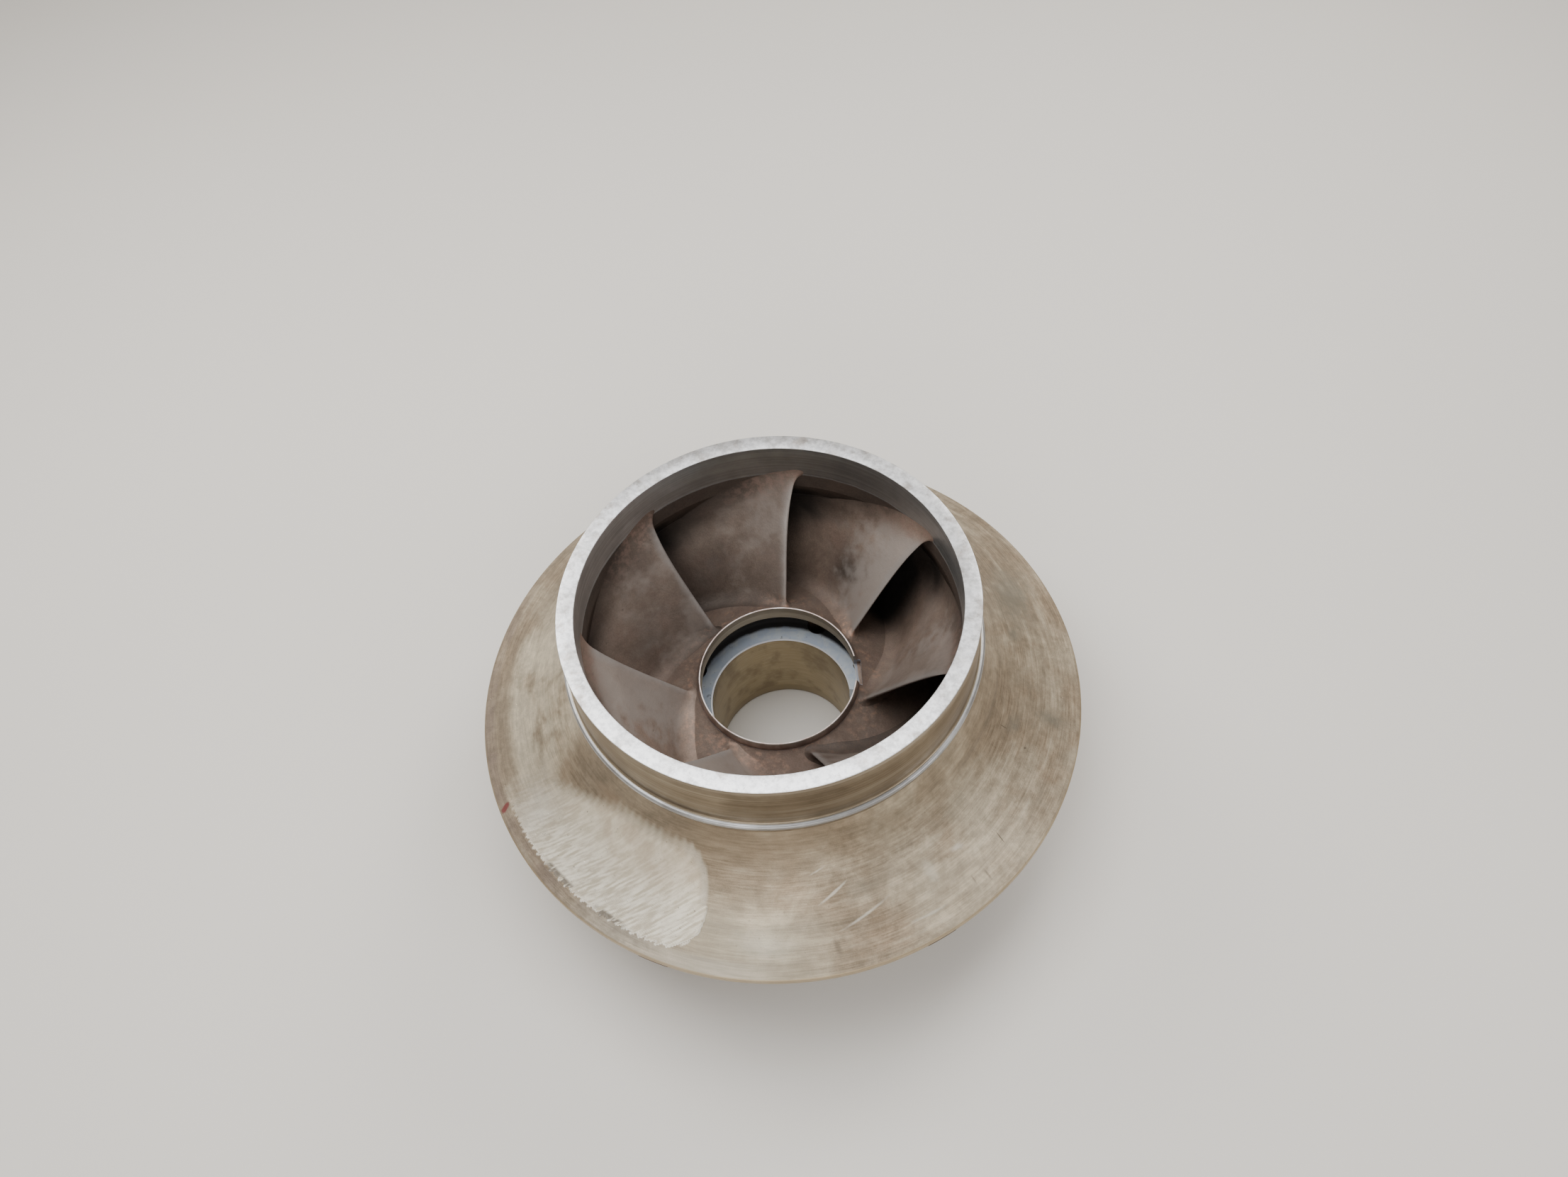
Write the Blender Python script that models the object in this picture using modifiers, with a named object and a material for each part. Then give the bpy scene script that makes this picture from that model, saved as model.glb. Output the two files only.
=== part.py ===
"""Closed mixed-flow pump impeller, standing on its rear hub face with the eye up.

Metres, +Z up. The origin is on the shaft axis, in the plane of the rear hub face.
"""
import math

import bmesh
import bpy
from mathutils import Vector

# Driving dimensions, radii and heights above the rear hub face
OUTER_RADIUS = 0.2364
OUTLET_TOP = 0.1029
SHROUD_EDGE = 0.0057
SHROUD_OUTLET_SLOPE = -0.45
NECK_OUTER = 0.1553
NECK_BORE = 0.1410
EYE_BORE = 0.1402
EYE_BORE_END = 0.1794
EYE_RING_OUTER = 0.1532
EYE_RING_TOP = 0.2283
COLLAR_OUTER = 0.1575
COLLAR_TOP = 0.1824
COLLAR_BOTTOM = 0.1720
BACK_OUTER = 0.2060
BACK_OUTLET = 0.0560
BACK_EDGE = 0.0075
BACK_OUTLET_SLOPE = -0.40
BACK_THICKNESS = 0.0125
BACK_ROOT_WIDTH = 0.0140
BACK_ROOT_DROP = 0.0140
HUB_BORE = 0.0554
HUB_OUTER = 0.0865
NOSE_TOP = 0.1221
NOSE_RIM = 0.1161
NOSE_BORE = 0.0612
NOSE_OUTER = 0.0643
RECESS_TOP = 0.1090
RECESS_ROOF_EDGE = 0.0985
RECESS_FLOOR = 0.0822
RECESS_RADIUS = 0.0755
REAR_RING_TOP = 0.0100
REAR_RING_OUTER = 0.0850
VANE_COUNT = 7
VANE_THICKNESS = 0.0062
VANE_FIRST_ANGLE = 88.0
VANE_WRAP_HUB = 125.0
VANE_WRAP_SHROUD = 116.0
VANE_EARLY_HUB = 0.30
VANE_EARLY_SHROUD = 0.40
VANE_LEAN = -3.2
VANE_INLET_HUB = 0.0695
VANE_INLET_SHROUD = 0.1985
KEYWAY_WIDTH = 0.0280
KEYWAY_DEPTH = 0.0064
KEYWAY_ANGLE = -4.6
NOTCH_ANGLES = (-5.0, 16.0)
NOTCH_BOTTOM = 0.1104
LIFT_HOLE_RADIUS = 0.0083
LIFT_HOLE_CENTRE = 0.0755
LIFT_HOLE_ANGLES = (69.2, 160.4, 249.2, 339.2)
PIN_HOLE_RADIUS = 0.0045
PIN_HOLE_CENTRE = 0.0700
PIN_HOLE_ANGLE = 27.6
HOLE_DEPTH = 0.0260
CLEARANCE = 0.0003

# Facets of the solids
TURN_STEPS = 60
CONTOUR_STEPS = 8
CHORD_STEPS = 13
SPAN_STEPS = 5


def bezier(start, control, end, steps):
    """Points of a quadratic curve, both ends included."""
    points = []
    for i in range(steps + 1):
        t = i / steps
        a, b, c = (1 - t) ** 2, 2 * t * (1 - t), t * t
        points.append((a * start[0] + b * control[0] + c * end[0],
                       a * start[1] + b * control[1] + c * end[1]))
    return points


def meeting_point(start, start_slope, end, end_slope):
    """Where the tangents at two ends of a contour cross."""
    radius = (end[1] - end_slope * end[0] - start[1] + start_slope * start[0]) / (start_slope - end_slope)
    return radius, start[1] + start_slope * (radius - start[0])


def contour(start, start_slope, end, end_slope, steps=CONTOUR_STEPS):
    """A smooth meridional contour given by its ends and its slopes there."""
    return bezier(start, meeting_point(start, start_slope, end, end_slope), end, steps)


def moved_off(points, distance):
    """A contour shifted by a distance to the right of its direction of travel."""
    shifted = []
    for i, (r, z) in enumerate(points):
        before = points[max(i - 1, 0)]
        after = points[min(i + 1, len(points) - 1)]
        along = Vector((after[0] - before[0], after[1] - before[1])).normalized()
        shifted.append((r + along.y * distance, z - along.x * distance))
    return shifted


def set_back(points, index):
    """A point of a contour, moved along it by the clearance."""
    here, after = Vector(points[index]), Vector(points[index + 1])
    return tuple(here + (after - here).normalized() * CLEARANCE)


def shroud_outside():
    return contour((NECK_OUTER, COLLAR_BOTTOM - CLEARANCE), -2.2, (OUTER_RADIUS, OUTLET_TOP), SHROUD_OUTLET_SLOPE)


def shroud_inside():
    end = (OUTER_RADIUS, OUTLET_TOP - SHROUD_EDGE)
    return contour((NECK_BORE, COLLAR_BOTTOM - CLEARANCE), -2.4, end, SHROUD_OUTLET_SLOPE)


def hub_contour():
    """Water side of the hub and back shroud, from the nose to the outlet."""
    return contour((NOSE_OUTER + 0.0002, NOSE_RIM), -0.95, (BACK_OUTER, BACK_OUTLET), BACK_OUTLET_SLOPE)


def height_on(points, radius):
    """Height of a contour at a radius."""
    for (r0, z0), (r1, z1) in zip(points, points[1:]):
        if r0 <= radius <= r1:
            return z0 + (z1 - z0) * (radius - r0) / (r1 - r0)
    raise ValueError("radius is off the contour")


def by_length(points, fraction):
    """The point at a fraction of a contour's length."""
    lengths = [math.dist(a, b) for a, b in zip(points, points[1:])]
    left = fraction * sum(lengths)
    for (a, b), length in zip(zip(points, points[1:]), lengths):
        if left <= length:
            share = left / length
            return a[0] + (b[0] - a[0]) * share, a[1] + (b[1] - a[1]) * share
        left -= length
    return points[-1]


def clear_scene():
    for thing in list(bpy.data.objects):
        bpy.data.objects.remove(thing, do_unlink=True)


def material(name, color, roughness, metallic=1.0):
    """One plain metal finish."""
    made = bpy.data.materials.new(name)
    made.use_nodes = True
    shader = made.node_tree.nodes["Principled BSDF"]
    shader.inputs["Base Color"].default_value = (*color, 1.0)
    shader.inputs["Roughness"].default_value = roughness
    shader.inputs["Metallic"].default_value = metallic
    made.diffuse_color = (*color, 1.0)
    return made


def mesh_object(name, mesh, collection, finish=None):
    thing = bpy.data.objects.new(name, mesh)
    collection.objects.link(thing)
    if finish:
        mesh.materials.append(finish)
    return thing


def turned(name, profile, collection, finish=None):
    """A closed profile at +X, clockwise from its top, turned about the shaft axis."""
    mesh = bpy.data.meshes.new(name)
    points = [(r, 0.0, z) for r, z in profile]
    count = len(points)
    mesh.from_pydata(points, [(i, (i + 1) % count) for i in range(count)], [])
    thing = mesh_object(name, mesh, collection, finish)
    screw = thing.modifiers.new("turn", "SCREW")
    screw.axis = "Z"
    screw.angle = 2 * math.pi
    screw.steps = TURN_STEPS
    screw.render_steps = TURN_STEPS
    screw.use_merge_vertices = True
    screw.merge_threshold = 0.00001
    screw.use_smooth_shade = True
    return thing


def cutter(thing):
    thing.hide_render = True
    thing.display_type = "WIRE"
    return thing


def cut(thing, tool, operation="DIFFERENCE"):
    change = thing.modifiers.new(tool.name, "BOOLEAN")
    change.object = tool
    change.operation = operation
    change.solver = "EXACT"


def box_cutter(name, size, location, angle, collection):
    """A box turned about the shaft axis, its location given before the turn."""
    mesh = bpy.data.meshes.new(name)
    form = bmesh.new()
    bmesh.ops.create_cube(form, size=1.0)
    bmesh.ops.scale(form, vec=size, verts=form.verts)
    bmesh.ops.translate(form, vec=location, verts=form.verts)
    form.to_mesh(mesh)
    form.free()
    tool = cutter(mesh_object(name, mesh, collection))
    tool.rotation_euler.z = math.radians(angle)
    return tool


def round_cutter(name, radius, depth, place, collection):
    """An upright cylinder centred on a place."""
    mesh = bpy.data.meshes.new(name)
    form = bmesh.new()
    bmesh.ops.create_cone(form, cap_ends=True, segments=16, radius1=radius, radius2=radius, depth=depth)
    form.to_mesh(mesh)
    form.free()
    tool = cutter(mesh_object(name, mesh, collection))
    tool.location = place
    return tool


def eye_ring(parts, finish):
    """Machined wear ring around the eye."""
    bevel = 0.0010
    bottom = COLLAR_TOP + CLEARANCE
    turned("eye_ring", [
        (EYE_RING_OUTER - bevel, EYE_RING_TOP),
        (EYE_RING_OUTER, EYE_RING_TOP - bevel),
        (EYE_RING_OUTER, bottom + 0.0020),
        (EYE_RING_OUTER + 0.0015, bottom),
        (EYE_BORE, bottom),
        (EYE_BORE, EYE_RING_TOP - bevel),
        (EYE_BORE + bevel, EYE_RING_TOP),
    ], parts, finish)


def shroud_collar(parts, finish):
    """Machined band with a rounded lip under the eye ring."""
    turned("shroud_collar", [
        (COLLAR_OUTER - 0.0010, COLLAR_TOP),
        (COLLAR_OUTER, COLLAR_TOP - 0.0012),
        (COLLAR_OUTER, COLLAR_TOP - 0.0034),
        (COLLAR_OUTER - 0.0014, COLLAR_TOP - 0.0052),
        (NECK_OUTER, COLLAR_BOTTOM),
        (NECK_BORE, COLLAR_BOTTOM),
        (EYE_BORE, EYE_BORE_END),
        (EYE_BORE, COLLAR_TOP),
    ], parts, finish)


def front_shroud(parts, finish):
    """The shroud over the vanes: the steep neck below the collar, and the flatter plate out to the rim."""
    outside, inside = shroud_outside(), shroud_inside()
    middle = CONTOUR_STEPS // 2
    turned("front_shroud_neck", outside[:middle + 1] + inside[middle::-1], parts, finish)
    top, under = set_back(outside, middle), set_back(inside, middle)
    plate = [top] + outside[middle + 1:] + inside[:middle:-1] + [under]
    turned("front_shroud_plate", plate, parts, finish)


def back_shroud(parts, finish):
    """The plate behind the vanes: the fillet that joins it to the hub, and the plate out to the outlet."""
    root = HUB_OUTER + CLEARANCE
    seam = HUB_OUTER + BACK_ROOT_WIDTH
    water = hub_contour()
    under_seam = height_on(water, seam) - BACK_THICKNESS
    fillet = bezier((seam, under_seam), (root, under_seam + 0.004), (root, under_seam - BACK_ROOT_DROP), 4)
    near = [(root, height_on(water, root))] + [point for point in water if root < point[0] < seam]
    turned("back_shroud_root", near + [(seam, height_on(water, seam))] + fillet, parts, finish)
    start = seam + CLEARANCE
    far = [(start, height_on(water, start))] + [point for point in water if point[0] > start]
    rim = (BACK_OUTER, BACK_OUTLET - BACK_EDGE)
    turned("back_shroud_plate", far + [rim, (start, under_seam)], parts, finish)


def keyway_tool(tools):
    """Slot for the key, along the whole shaft seat."""
    reach = HUB_BORE + KEYWAY_DEPTH
    size = (reach, KEYWAY_WIDTH, RECESS_FLOOR + 0.002)
    return box_cutter("keyway_cutter", size, (reach / 2, 0.0, size[2] / 2 - 0.001), KEYWAY_ANGLE, tools)


def notch_tool(tools):
    """Slot across the rim of the nose."""
    width = 2 * NOSE_BORE * math.sin(math.radians((NOTCH_ANGLES[1] - NOTCH_ANGLES[0]) / 2))
    inner, outer, top = NOSE_BORE - 0.0060, NOSE_OUTER + 0.0014, NOSE_TOP + 0.0040
    size = (outer - inner, width, top - NOTCH_BOTTOM)
    place = ((inner + outer) / 2, 0.0, (top + NOTCH_BOTTOM) / 2)
    return box_cutter("notch_cutter", size, place, sum(NOTCH_ANGLES) / 2, tools)


def hub_seat(parts, tools, finish, key):
    """Lower hub with the bore that seats on the shaft, the keyway and the holes in its top face."""
    bevel = 0.0010
    seat = turned("hub_seat", [
        (HUB_OUTER, RECESS_FLOOR),
        (HUB_OUTER, REAR_RING_TOP + CLEARANCE),
        (HUB_BORE, REAR_RING_TOP + CLEARANCE),
        (HUB_BORE, RECESS_FLOOR - bevel),
        (HUB_BORE + bevel, RECESS_FLOOR),
    ], parts, finish)
    cut(seat, key)
    holes = [(LIFT_HOLE_RADIUS, LIFT_HOLE_CENTRE, angle) for angle in LIFT_HOLE_ANGLES]
    holes.append((PIN_HOLE_RADIUS, PIN_HOLE_CENTRE, PIN_HOLE_ANGLE))
    above = 0.003
    for i, (radius, centre, angle) in enumerate(holes):
        turn = math.radians(angle)
        middle = RECESS_FLOOR + above - (HOLE_DEPTH + above) / 2
        place = (centre * math.cos(turn), centre * math.sin(turn), middle)
        cut(seat, round_cutter(f"hole_cutter_{i + 1}", radius, HOLE_DEPTH + above, place, tools))


def hub_nose(parts, finish, notch):
    """Upper hub that turns the flow outwards, hollowed by the recess above the shaft seat."""
    water = [point for point in hub_contour() if point[0] < HUB_OUTER]
    profile = water + [
        (HUB_OUTER, height_on(hub_contour(), HUB_OUTER)),
        (HUB_OUTER, RECESS_FLOOR + CLEARANCE),
        (RECESS_RADIUS, RECESS_FLOOR + CLEARANCE),
        (RECESS_RADIUS, RECESS_ROOF_EDGE - 0.0030),
        (RECESS_RADIUS - 0.0030, RECESS_ROOF_EDGE),
        (NOSE_BORE, RECESS_TOP),
        (NOSE_BORE, NOSE_RIM),
    ]
    cut(turned("hub_nose", profile, parts, finish), notch)


def hub_nose_ring(parts, finish, notch):
    """Thin machined spigot that ends the nose, with the slot cut across it."""
    bevel = 0.0004
    bottom = NOSE_RIM + CLEARANCE
    ring = turned("hub_nose_ring", [
        (NOSE_OUTER - bevel, NOSE_TOP),
        (NOSE_OUTER, NOSE_TOP - bevel),
        (NOSE_OUTER, bottom),
        (NOSE_BORE, bottom),
        (NOSE_BORE, NOSE_TOP - bevel),
        (NOSE_BORE + bevel, NOSE_TOP),
    ], parts, finish)
    cut(ring, notch)


def hub_rear_ring(parts, finish, key):
    """Machined rear end of the hub, on which the impeller stands."""
    bevel = 0.0020
    ring = turned("hub_rear_ring", [
        (REAR_RING_OUTER, REAR_RING_TOP),
        (REAR_RING_OUTER, bevel),
        (REAR_RING_OUTER - bevel, 0.0),
        (HUB_BORE + bevel, 0.0),
        (HUB_BORE, bevel),
        (HUB_BORE, REAR_RING_TOP),
    ], parts, finish)
    cut(ring, key)


def water_passage(tools):
    """The room between the shrouds that the vanes fill from wall to wall."""
    shroud = moved_off(shroud_inside(), CLEARANCE)
    floor = moved_off(hub_contour()[::-1], CLEARANCE)
    inlet = [(EYE_BORE - CLEARANCE, EYE_RING_TOP), (EYE_BORE - CLEARANCE, EYE_BORE_END)]
    trim = 0.0008
    shroud[-1] = (shroud[-1][0] - trim, shroud[-1][1] - trim * SHROUD_OUTLET_SLOPE)
    floor[0] = (floor[0][0] - trim, floor[0][1] - trim * BACK_OUTLET_SLOPE)
    profile = inlet + shroud + floor + [(NOSE_OUTER + CLEARANCE, EYE_RING_TOP)]
    return cutter(turned("water_passage", profile, tools))


def shroud_streamline():
    return [(EYE_BORE, VANE_INLET_SHROUD), (EYE_BORE, COLLAR_TOP)] + shroud_inside()


def hub_streamline():
    start = (VANE_INLET_HUB, height_on(hub_contour(), VANE_INLET_HUB))
    return [start] + [point for point in hub_contour() if point[0] > VANE_INLET_HUB + 0.001]


def camber(along, span):
    """Radius, height and angle of the vane's middle surface."""
    low = by_length(hub_streamline(), along)
    high = by_length(shroud_streamline(), along)
    radius = low[0] + (high[0] - low[0]) * span
    height = low[1] + (high[1] - low[1]) * span
    early = VANE_EARLY_HUB + (VANE_EARLY_SHROUD - VANE_EARLY_HUB) * span
    wrap = VANE_WRAP_HUB + (VANE_WRAP_SHROUD - VANE_WRAP_HUB) * span
    lean = VANE_LEAN * max(span, 0.0) ** 4 * (1 - along) ** 2
    angle = VANE_FIRST_ANGLE + lean + wrap * (along + early * along * (1 - along))
    return radius, height, math.radians(angle)


def camber_point(along, span):
    radius, height, angle = camber(along, span)
    return Vector((radius * math.cos(angle), radius * math.sin(angle), height))


def half_thickness(along):
    """Round leading edge, full body, thinner trailing edge."""
    nose_length, swell_length, taper_start = 0.035, 0.20, 0.60
    nose_share, blunt_share, edge_share = 0.85, 0.25, 0.65
    body = VANE_THICKNESS / 2
    if along < nose_length:
        share = 1 - along / nose_length
        return body * nose_share * (blunt_share + (1 - blunt_share) * math.sqrt(1 - share * share))
    swell = nose_share + (1 - nose_share) * min(1.0, (along - nose_length) / swell_length)
    taper = 1 - (1 - edge_share) * max(0.0, along - taper_start) / (1 - taper_start)
    return body * swell * taper


def vane_mesh():
    """Closed loft of rounded sections, standing a little into both walls."""
    spans = [-0.06 + 1.12 * j / SPAN_STEPS for j in range(SPAN_STEPS + 1)]
    nose, tail = (0.0, 0.006, 0.016, 0.036), 1.02
    run = tail - nose[-1]
    stations = list(nose) + [nose[-1] + run * (i + 1) / CHORD_STEPS for i in range(CHORD_STEPS)]
    form = bmesh.new()
    loops = []
    for span in spans:
        upper, lower = [], []
        for station in stations:
            inside = min(station, 0.999)
            here = camber_point(inside, span)
            ahead = camber_point(min(inside + 0.01, 1.0), span)
            behind = camber_point(max(inside - 0.01, 0.0), span)
            chord = (ahead - behind).normalized()
            across = camber_point(inside, span + 0.02) - camber_point(inside, span - 0.02)
            normal = chord.cross(across).normalized()
            if station > inside:
                here = here + chord * (station - inside) * 0.3
            offset = normal * half_thickness(inside)
            upper.append(form.verts.new(here + offset))
            lower.append(form.verts.new(here - offset))
        loops.append(upper + lower[::-1])
    count = len(loops[0])
    for first, second in zip(loops, loops[1:]):
        for i in range(count):
            form.faces.new((first[i], first[(i + 1) % count], second[(i + 1) % count], second[i]))
    half = count // 2
    for loop in (loops[0], loops[-1]):
        for i in range(half - 1):
            form.faces.new((loop[i], loop[i + 1], loop[count - 2 - i], loop[count - 1 - i]))
    bmesh.ops.recalc_face_normals(form, faces=form.faces)
    mesh = bpy.data.meshes.new("vane")
    form.to_mesh(mesh)
    form.free()
    mesh.shade_smooth()
    return mesh


def vanes(parts, tools, finish):
    passage = water_passage(tools)
    mesh = vane_mesh()
    mesh.materials.append(finish)
    for i in range(VANE_COUNT):
        vane = mesh_object(f"vane_{i + 1}", mesh, parts)
        vane.rotation_euler.z = 2 * math.pi * i / VANE_COUNT
        cut(vane, passage, "INTERSECT")


def build():
    clear_scene()
    parts = bpy.data.collections.new("impeller")
    tools = bpy.data.collections.new("cutters")
    bpy.context.scene.collection.children.link(parts)
    bpy.context.scene.collection.children.link(tools)
    machined = material("machined_steel", (0.62, 0.61, 0.60), 0.30)
    collar = material("collar_steel", (0.58, 0.56, 0.53), 0.35)
    ground = material("ground_casting", (0.42, 0.38, 0.33), 0.55)
    cast = material("cast_passage", (0.26, 0.21, 0.19), 0.60)
    bored = material("bored_steel", (0.50, 0.51, 0.53), 0.35)
    eye_ring(parts, machined)
    shroud_collar(parts, collar)
    front_shroud(parts, ground)
    back_shroud(parts, cast)
    key = keyway_tool(tools)
    notch = notch_tool(tools)
    hub_seat(parts, tools, bored, key)
    hub_nose(parts, cast, notch)
    hub_nose_ring(parts, machined, notch)
    hub_rear_ring(parts, machined, key)
    vanes(parts, tools, cast)


build()
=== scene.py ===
"""Looks of a closed pump impeller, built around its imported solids.
Metres, +Z along the shaft towards the eye."""
import math

import bmesh
import bpy
import numpy as np
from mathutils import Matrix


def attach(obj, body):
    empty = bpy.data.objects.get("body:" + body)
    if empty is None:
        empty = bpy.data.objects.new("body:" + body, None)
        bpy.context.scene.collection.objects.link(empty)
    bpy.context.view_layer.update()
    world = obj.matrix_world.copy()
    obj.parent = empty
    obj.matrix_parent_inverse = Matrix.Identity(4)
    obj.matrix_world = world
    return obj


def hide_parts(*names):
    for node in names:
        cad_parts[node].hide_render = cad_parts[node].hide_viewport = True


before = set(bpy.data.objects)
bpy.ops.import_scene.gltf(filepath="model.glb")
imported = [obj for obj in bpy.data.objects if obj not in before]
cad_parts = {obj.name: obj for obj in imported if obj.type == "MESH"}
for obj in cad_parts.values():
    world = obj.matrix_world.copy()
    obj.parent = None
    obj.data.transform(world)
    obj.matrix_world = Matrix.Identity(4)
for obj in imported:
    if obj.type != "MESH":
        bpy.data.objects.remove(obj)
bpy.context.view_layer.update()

# Camera. It looks down into the eye from the front, a little to the right of the axis,
# through the wide lens of the photograph.
camera = bpy.data.objects.new("camera", bpy.data.cameras.new("camera"))
camera.data.lens = 29.405
camera.data.sensor_width = 36.0
camera.location = (0.0884, -0.5104, 0.9859)
camera.rotation_euler = [math.radians(angle) for angle in (34.501, 3.718, 3.054)]
bpy.context.scene.collection.objects.link(camera)
bpy.context.scene.camera = camera


# Floor and light. A plain pale floor, a large soft box overhead, weaker ones in front and on both sides,
# and a pale surround that is brighter above than at its horizon.
def soft_box(name, place, width, height, power, tint):
    """A rectangular light that looks at the impeller's middle."""
    light = bpy.data.lights.new(name, "AREA")
    light.shape = "RECTANGLE"
    light.size = width
    light.size_y = height
    light.energy = power
    light.color = tint
    thing = bpy.data.objects.new(name, light)
    thing.location = place
    level = math.hypot(place[0], place[1])
    thing.rotation_euler = (math.atan2(level, place[2] - 0.1), 0.0, math.atan2(place[0], -place[1]))
    bpy.context.scene.collection.objects.link(thing)


soft_box("soft_box_top", (-0.20, 0.15, 1.55), 1.3, 1.0, 17.0, (0.98, 0.99, 1.0))
soft_box("soft_box_front", (-0.10, -1.45, 1.00), 1.3, 0.6, 11.0, (1.0, 0.985, 0.96))
soft_box("soft_box_back", (0.75, 1.15, 1.30), 0.8, 0.6, 13.0, (1.0, 0.975, 0.94))
soft_box("soft_box_left", (-1.10, 0.75, 1.25), 0.9, 0.7, 12.0, (1.0, 0.975, 0.94))
soft_box("soft_box_right", (1.2, -0.6, 1.2), 1.0, 0.8, 6.0, (0.98, 0.98, 1.0))
surround = bpy.data.worlds.new("surround")
surround.use_nodes = True
sky = surround.node_tree
upwards = sky.nodes.new("ShaderNodeSeparateXYZ")
sky.links.new(sky.nodes.new("ShaderNodeTexCoord").outputs["Generated"], upwards.inputs[0])
shade = sky.nodes.new("ShaderNodeValToRGB")
shade.color_ramp.elements[0].color = (0.72, 0.62, 0.50, 1.0)
shade.color_ramp.elements[1].color = (0.96, 0.96, 0.96, 1.0)
sky.links.new(upwards.outputs["Z"], shade.inputs[0])
sky.links.new(shade.outputs[0], sky.nodes["Background"].inputs["Color"])
sky.nodes["Background"].inputs["Strength"].default_value = 0.42
bpy.context.scene.world = surround

FLOOR_REACH = 2.5
floor_mesh = bpy.data.meshes.new("floor")
corners = [(x * FLOOR_REACH, y * FLOOR_REACH, 0.0) for x, y in ((-1, -1), (1, -1), (1, 1), (-1, 1))]
floor_mesh.from_pydata(corners, [], [(0, 1, 2, 3)])
floor = bpy.data.objects.new("floor", floor_mesh)
bpy.context.scene.collection.objects.link(floor)
floor_paint = bpy.data.materials.new("floor_paint")
floor_paint.use_nodes = True
coat = floor_paint.node_tree
for size, low, high, socket in ((0.9, (0.74, 0.705, 0.65, 1.0), (0.80, 0.765, 0.71, 1.0), "Base Color"),
                                (0.12, (0.62, 0.62, 0.62, 1.0), (0.80, 0.80, 0.80, 1.0), "Roughness")):
    wear = coat.nodes.new("ShaderNodeTexNoise")
    coat.links.new(coat.nodes.new("ShaderNodeTexCoord").outputs["Object"], wear.inputs["Vector"])
    wear.inputs["Scale"].default_value = 1 / size
    wear.inputs["Detail"].default_value = 6.0
    tones = coat.nodes.new("ShaderNodeValToRGB")
    tones.color_ramp.elements[0].color, tones.color_ramp.elements[1].color = low, high
    coat.links.new(wear.outputs[0], tones.inputs[0])
    coat.links.new(tones.outputs[0], coat.nodes["Principled BSDF"].inputs[socket])
floor_mesh.materials.append(floor_paint)


# Hub. The middle of the casting, that the shaft goes through. Its outside is left as cast and turns
# the water outwards. Inside, the shaft seat, the recess over it and the holes in its floor are machined.
HUB_BORE = 0.0554
HUB_OUTER = 0.0865
NOSE_RIM = 0.1161
NOSE_BORE = 0.0612
NOSE_OUTER = 0.0643
RECESS_ROOF = 0.1090
RECESS_ROOF_EDGE = 0.0985
RECESS_FLOOR = 0.0822
RECESS_RADIUS = 0.0755
REAR_RING_TOP = 0.0100
BACK_OUTER = 0.2060
BACK_OUTLET = 0.0560
KEYWAY_WIDTH = 0.0280
KEYWAY_DEPTH = 0.0064
KEYWAY_ANGLE = -4.6
NOTCH_ANGLE = 5.5
NOTCH_WIDTH = 0.0223
NOTCH_BOTTOM = 0.1104
NOTCH_HEIGHT = 0.0157
HUB_HOLES = ((0.0083, 0.0755, 69.2), (0.0083, 0.0755, 160.4), (0.0083, 0.0755, 249.2),
             (0.0083, 0.0755, 339.2), (0.0045, 0.0700, 27.6))
HOLE_BOTTOM = 0.0562
MACHINED, CAST = 0.0, 1.0
CAST_METALLIC = 0.40
CAST_RELIEF = 0.0004
LATHE_RELIEF = 0.0003
SHARP = 32.0
VANES = 7
FIRST_TIP_ANGLE = 90.0


def curve(start, corner, end, steps):
    """Points of a curve that leaves its start towards the corner and comes to its end from there."""
    t = np.linspace(0.0, 1.0, steps + 1)[:, None]
    return (1 - t) ** 2 * np.array(start) + 2 * t * (1 - t) * np.array(corner) + t * t * np.array(end)


def contour(start, start_slope, end, end_slope, steps):
    """A smooth outline of a turned form, given by its ends and by its slopes there."""
    bend = (end[1] - end_slope * end[0] - start[1] + start_slope * start[0]) / (start_slope - end_slope)
    return curve(start, (bend, start[1] + start_slope * (bend - start[0])), end, steps)


def skinned(points, skin=MACHINED):
    """Outline points (radius, height) with how much of the cast skin they have."""
    return [(*point, skin) for point in points]


def rounded(start, corner, end, steps=5, skin=MACHINED):
    """A small round between two straights of an outline."""
    return skinned(curve(start, corner, end, steps), skin)


def even_turns(count):
    return np.arange(count) * 2 * math.pi / count


def shown(name, mesh):
    thing = bpy.data.objects.new(name, mesh)
    bpy.context.scene.collection.objects.link(thing)
    return thing


def write_points(mesh, name, values):
    mesh.attributes.new(name, "FLOAT", "POINT").data.foreach_set("value", values)


def turned(name, outline, turns, sharp=SHARP):
    """An outline of (radius, height, skin) points, clockwise from its top, turned about the shaft axis."""
    outline = np.array(outline)
    count, rounds = len(outline), len(turns)
    places = np.empty((rounds, count, 3))
    places[:, :, 0] = np.cos(turns)[:, None] * outline[:, 0]
    places[:, :, 1] = np.sin(turns)[:, None] * outline[:, 0]
    places[:, :, 2] = outline[:, 1]
    index = np.arange(rounds * count).reshape(rounds, count)
    after = np.roll(index, -1, axis=0)
    faces = np.stack([index, np.roll(index, -1, axis=1), np.roll(after, -1, axis=1), after], -1).reshape(-1, 4)
    mesh = bpy.data.meshes.new(name)
    mesh.from_pydata(places.reshape(-1, 3).tolist(), [], faces.tolist())
    write_points(mesh, "cast", np.tile(outline[:, 2], rounds))
    mesh.shade_smooth()
    mesh.set_sharp_from_angle(angle=math.radians(sharp))
    return shown(name, mesh)


def formed(name, form):
    """An object from what a bmesh holds."""
    mesh = bpy.data.meshes.new(name)
    form.to_mesh(mesh)
    form.free()
    return shown(name, mesh)


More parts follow.
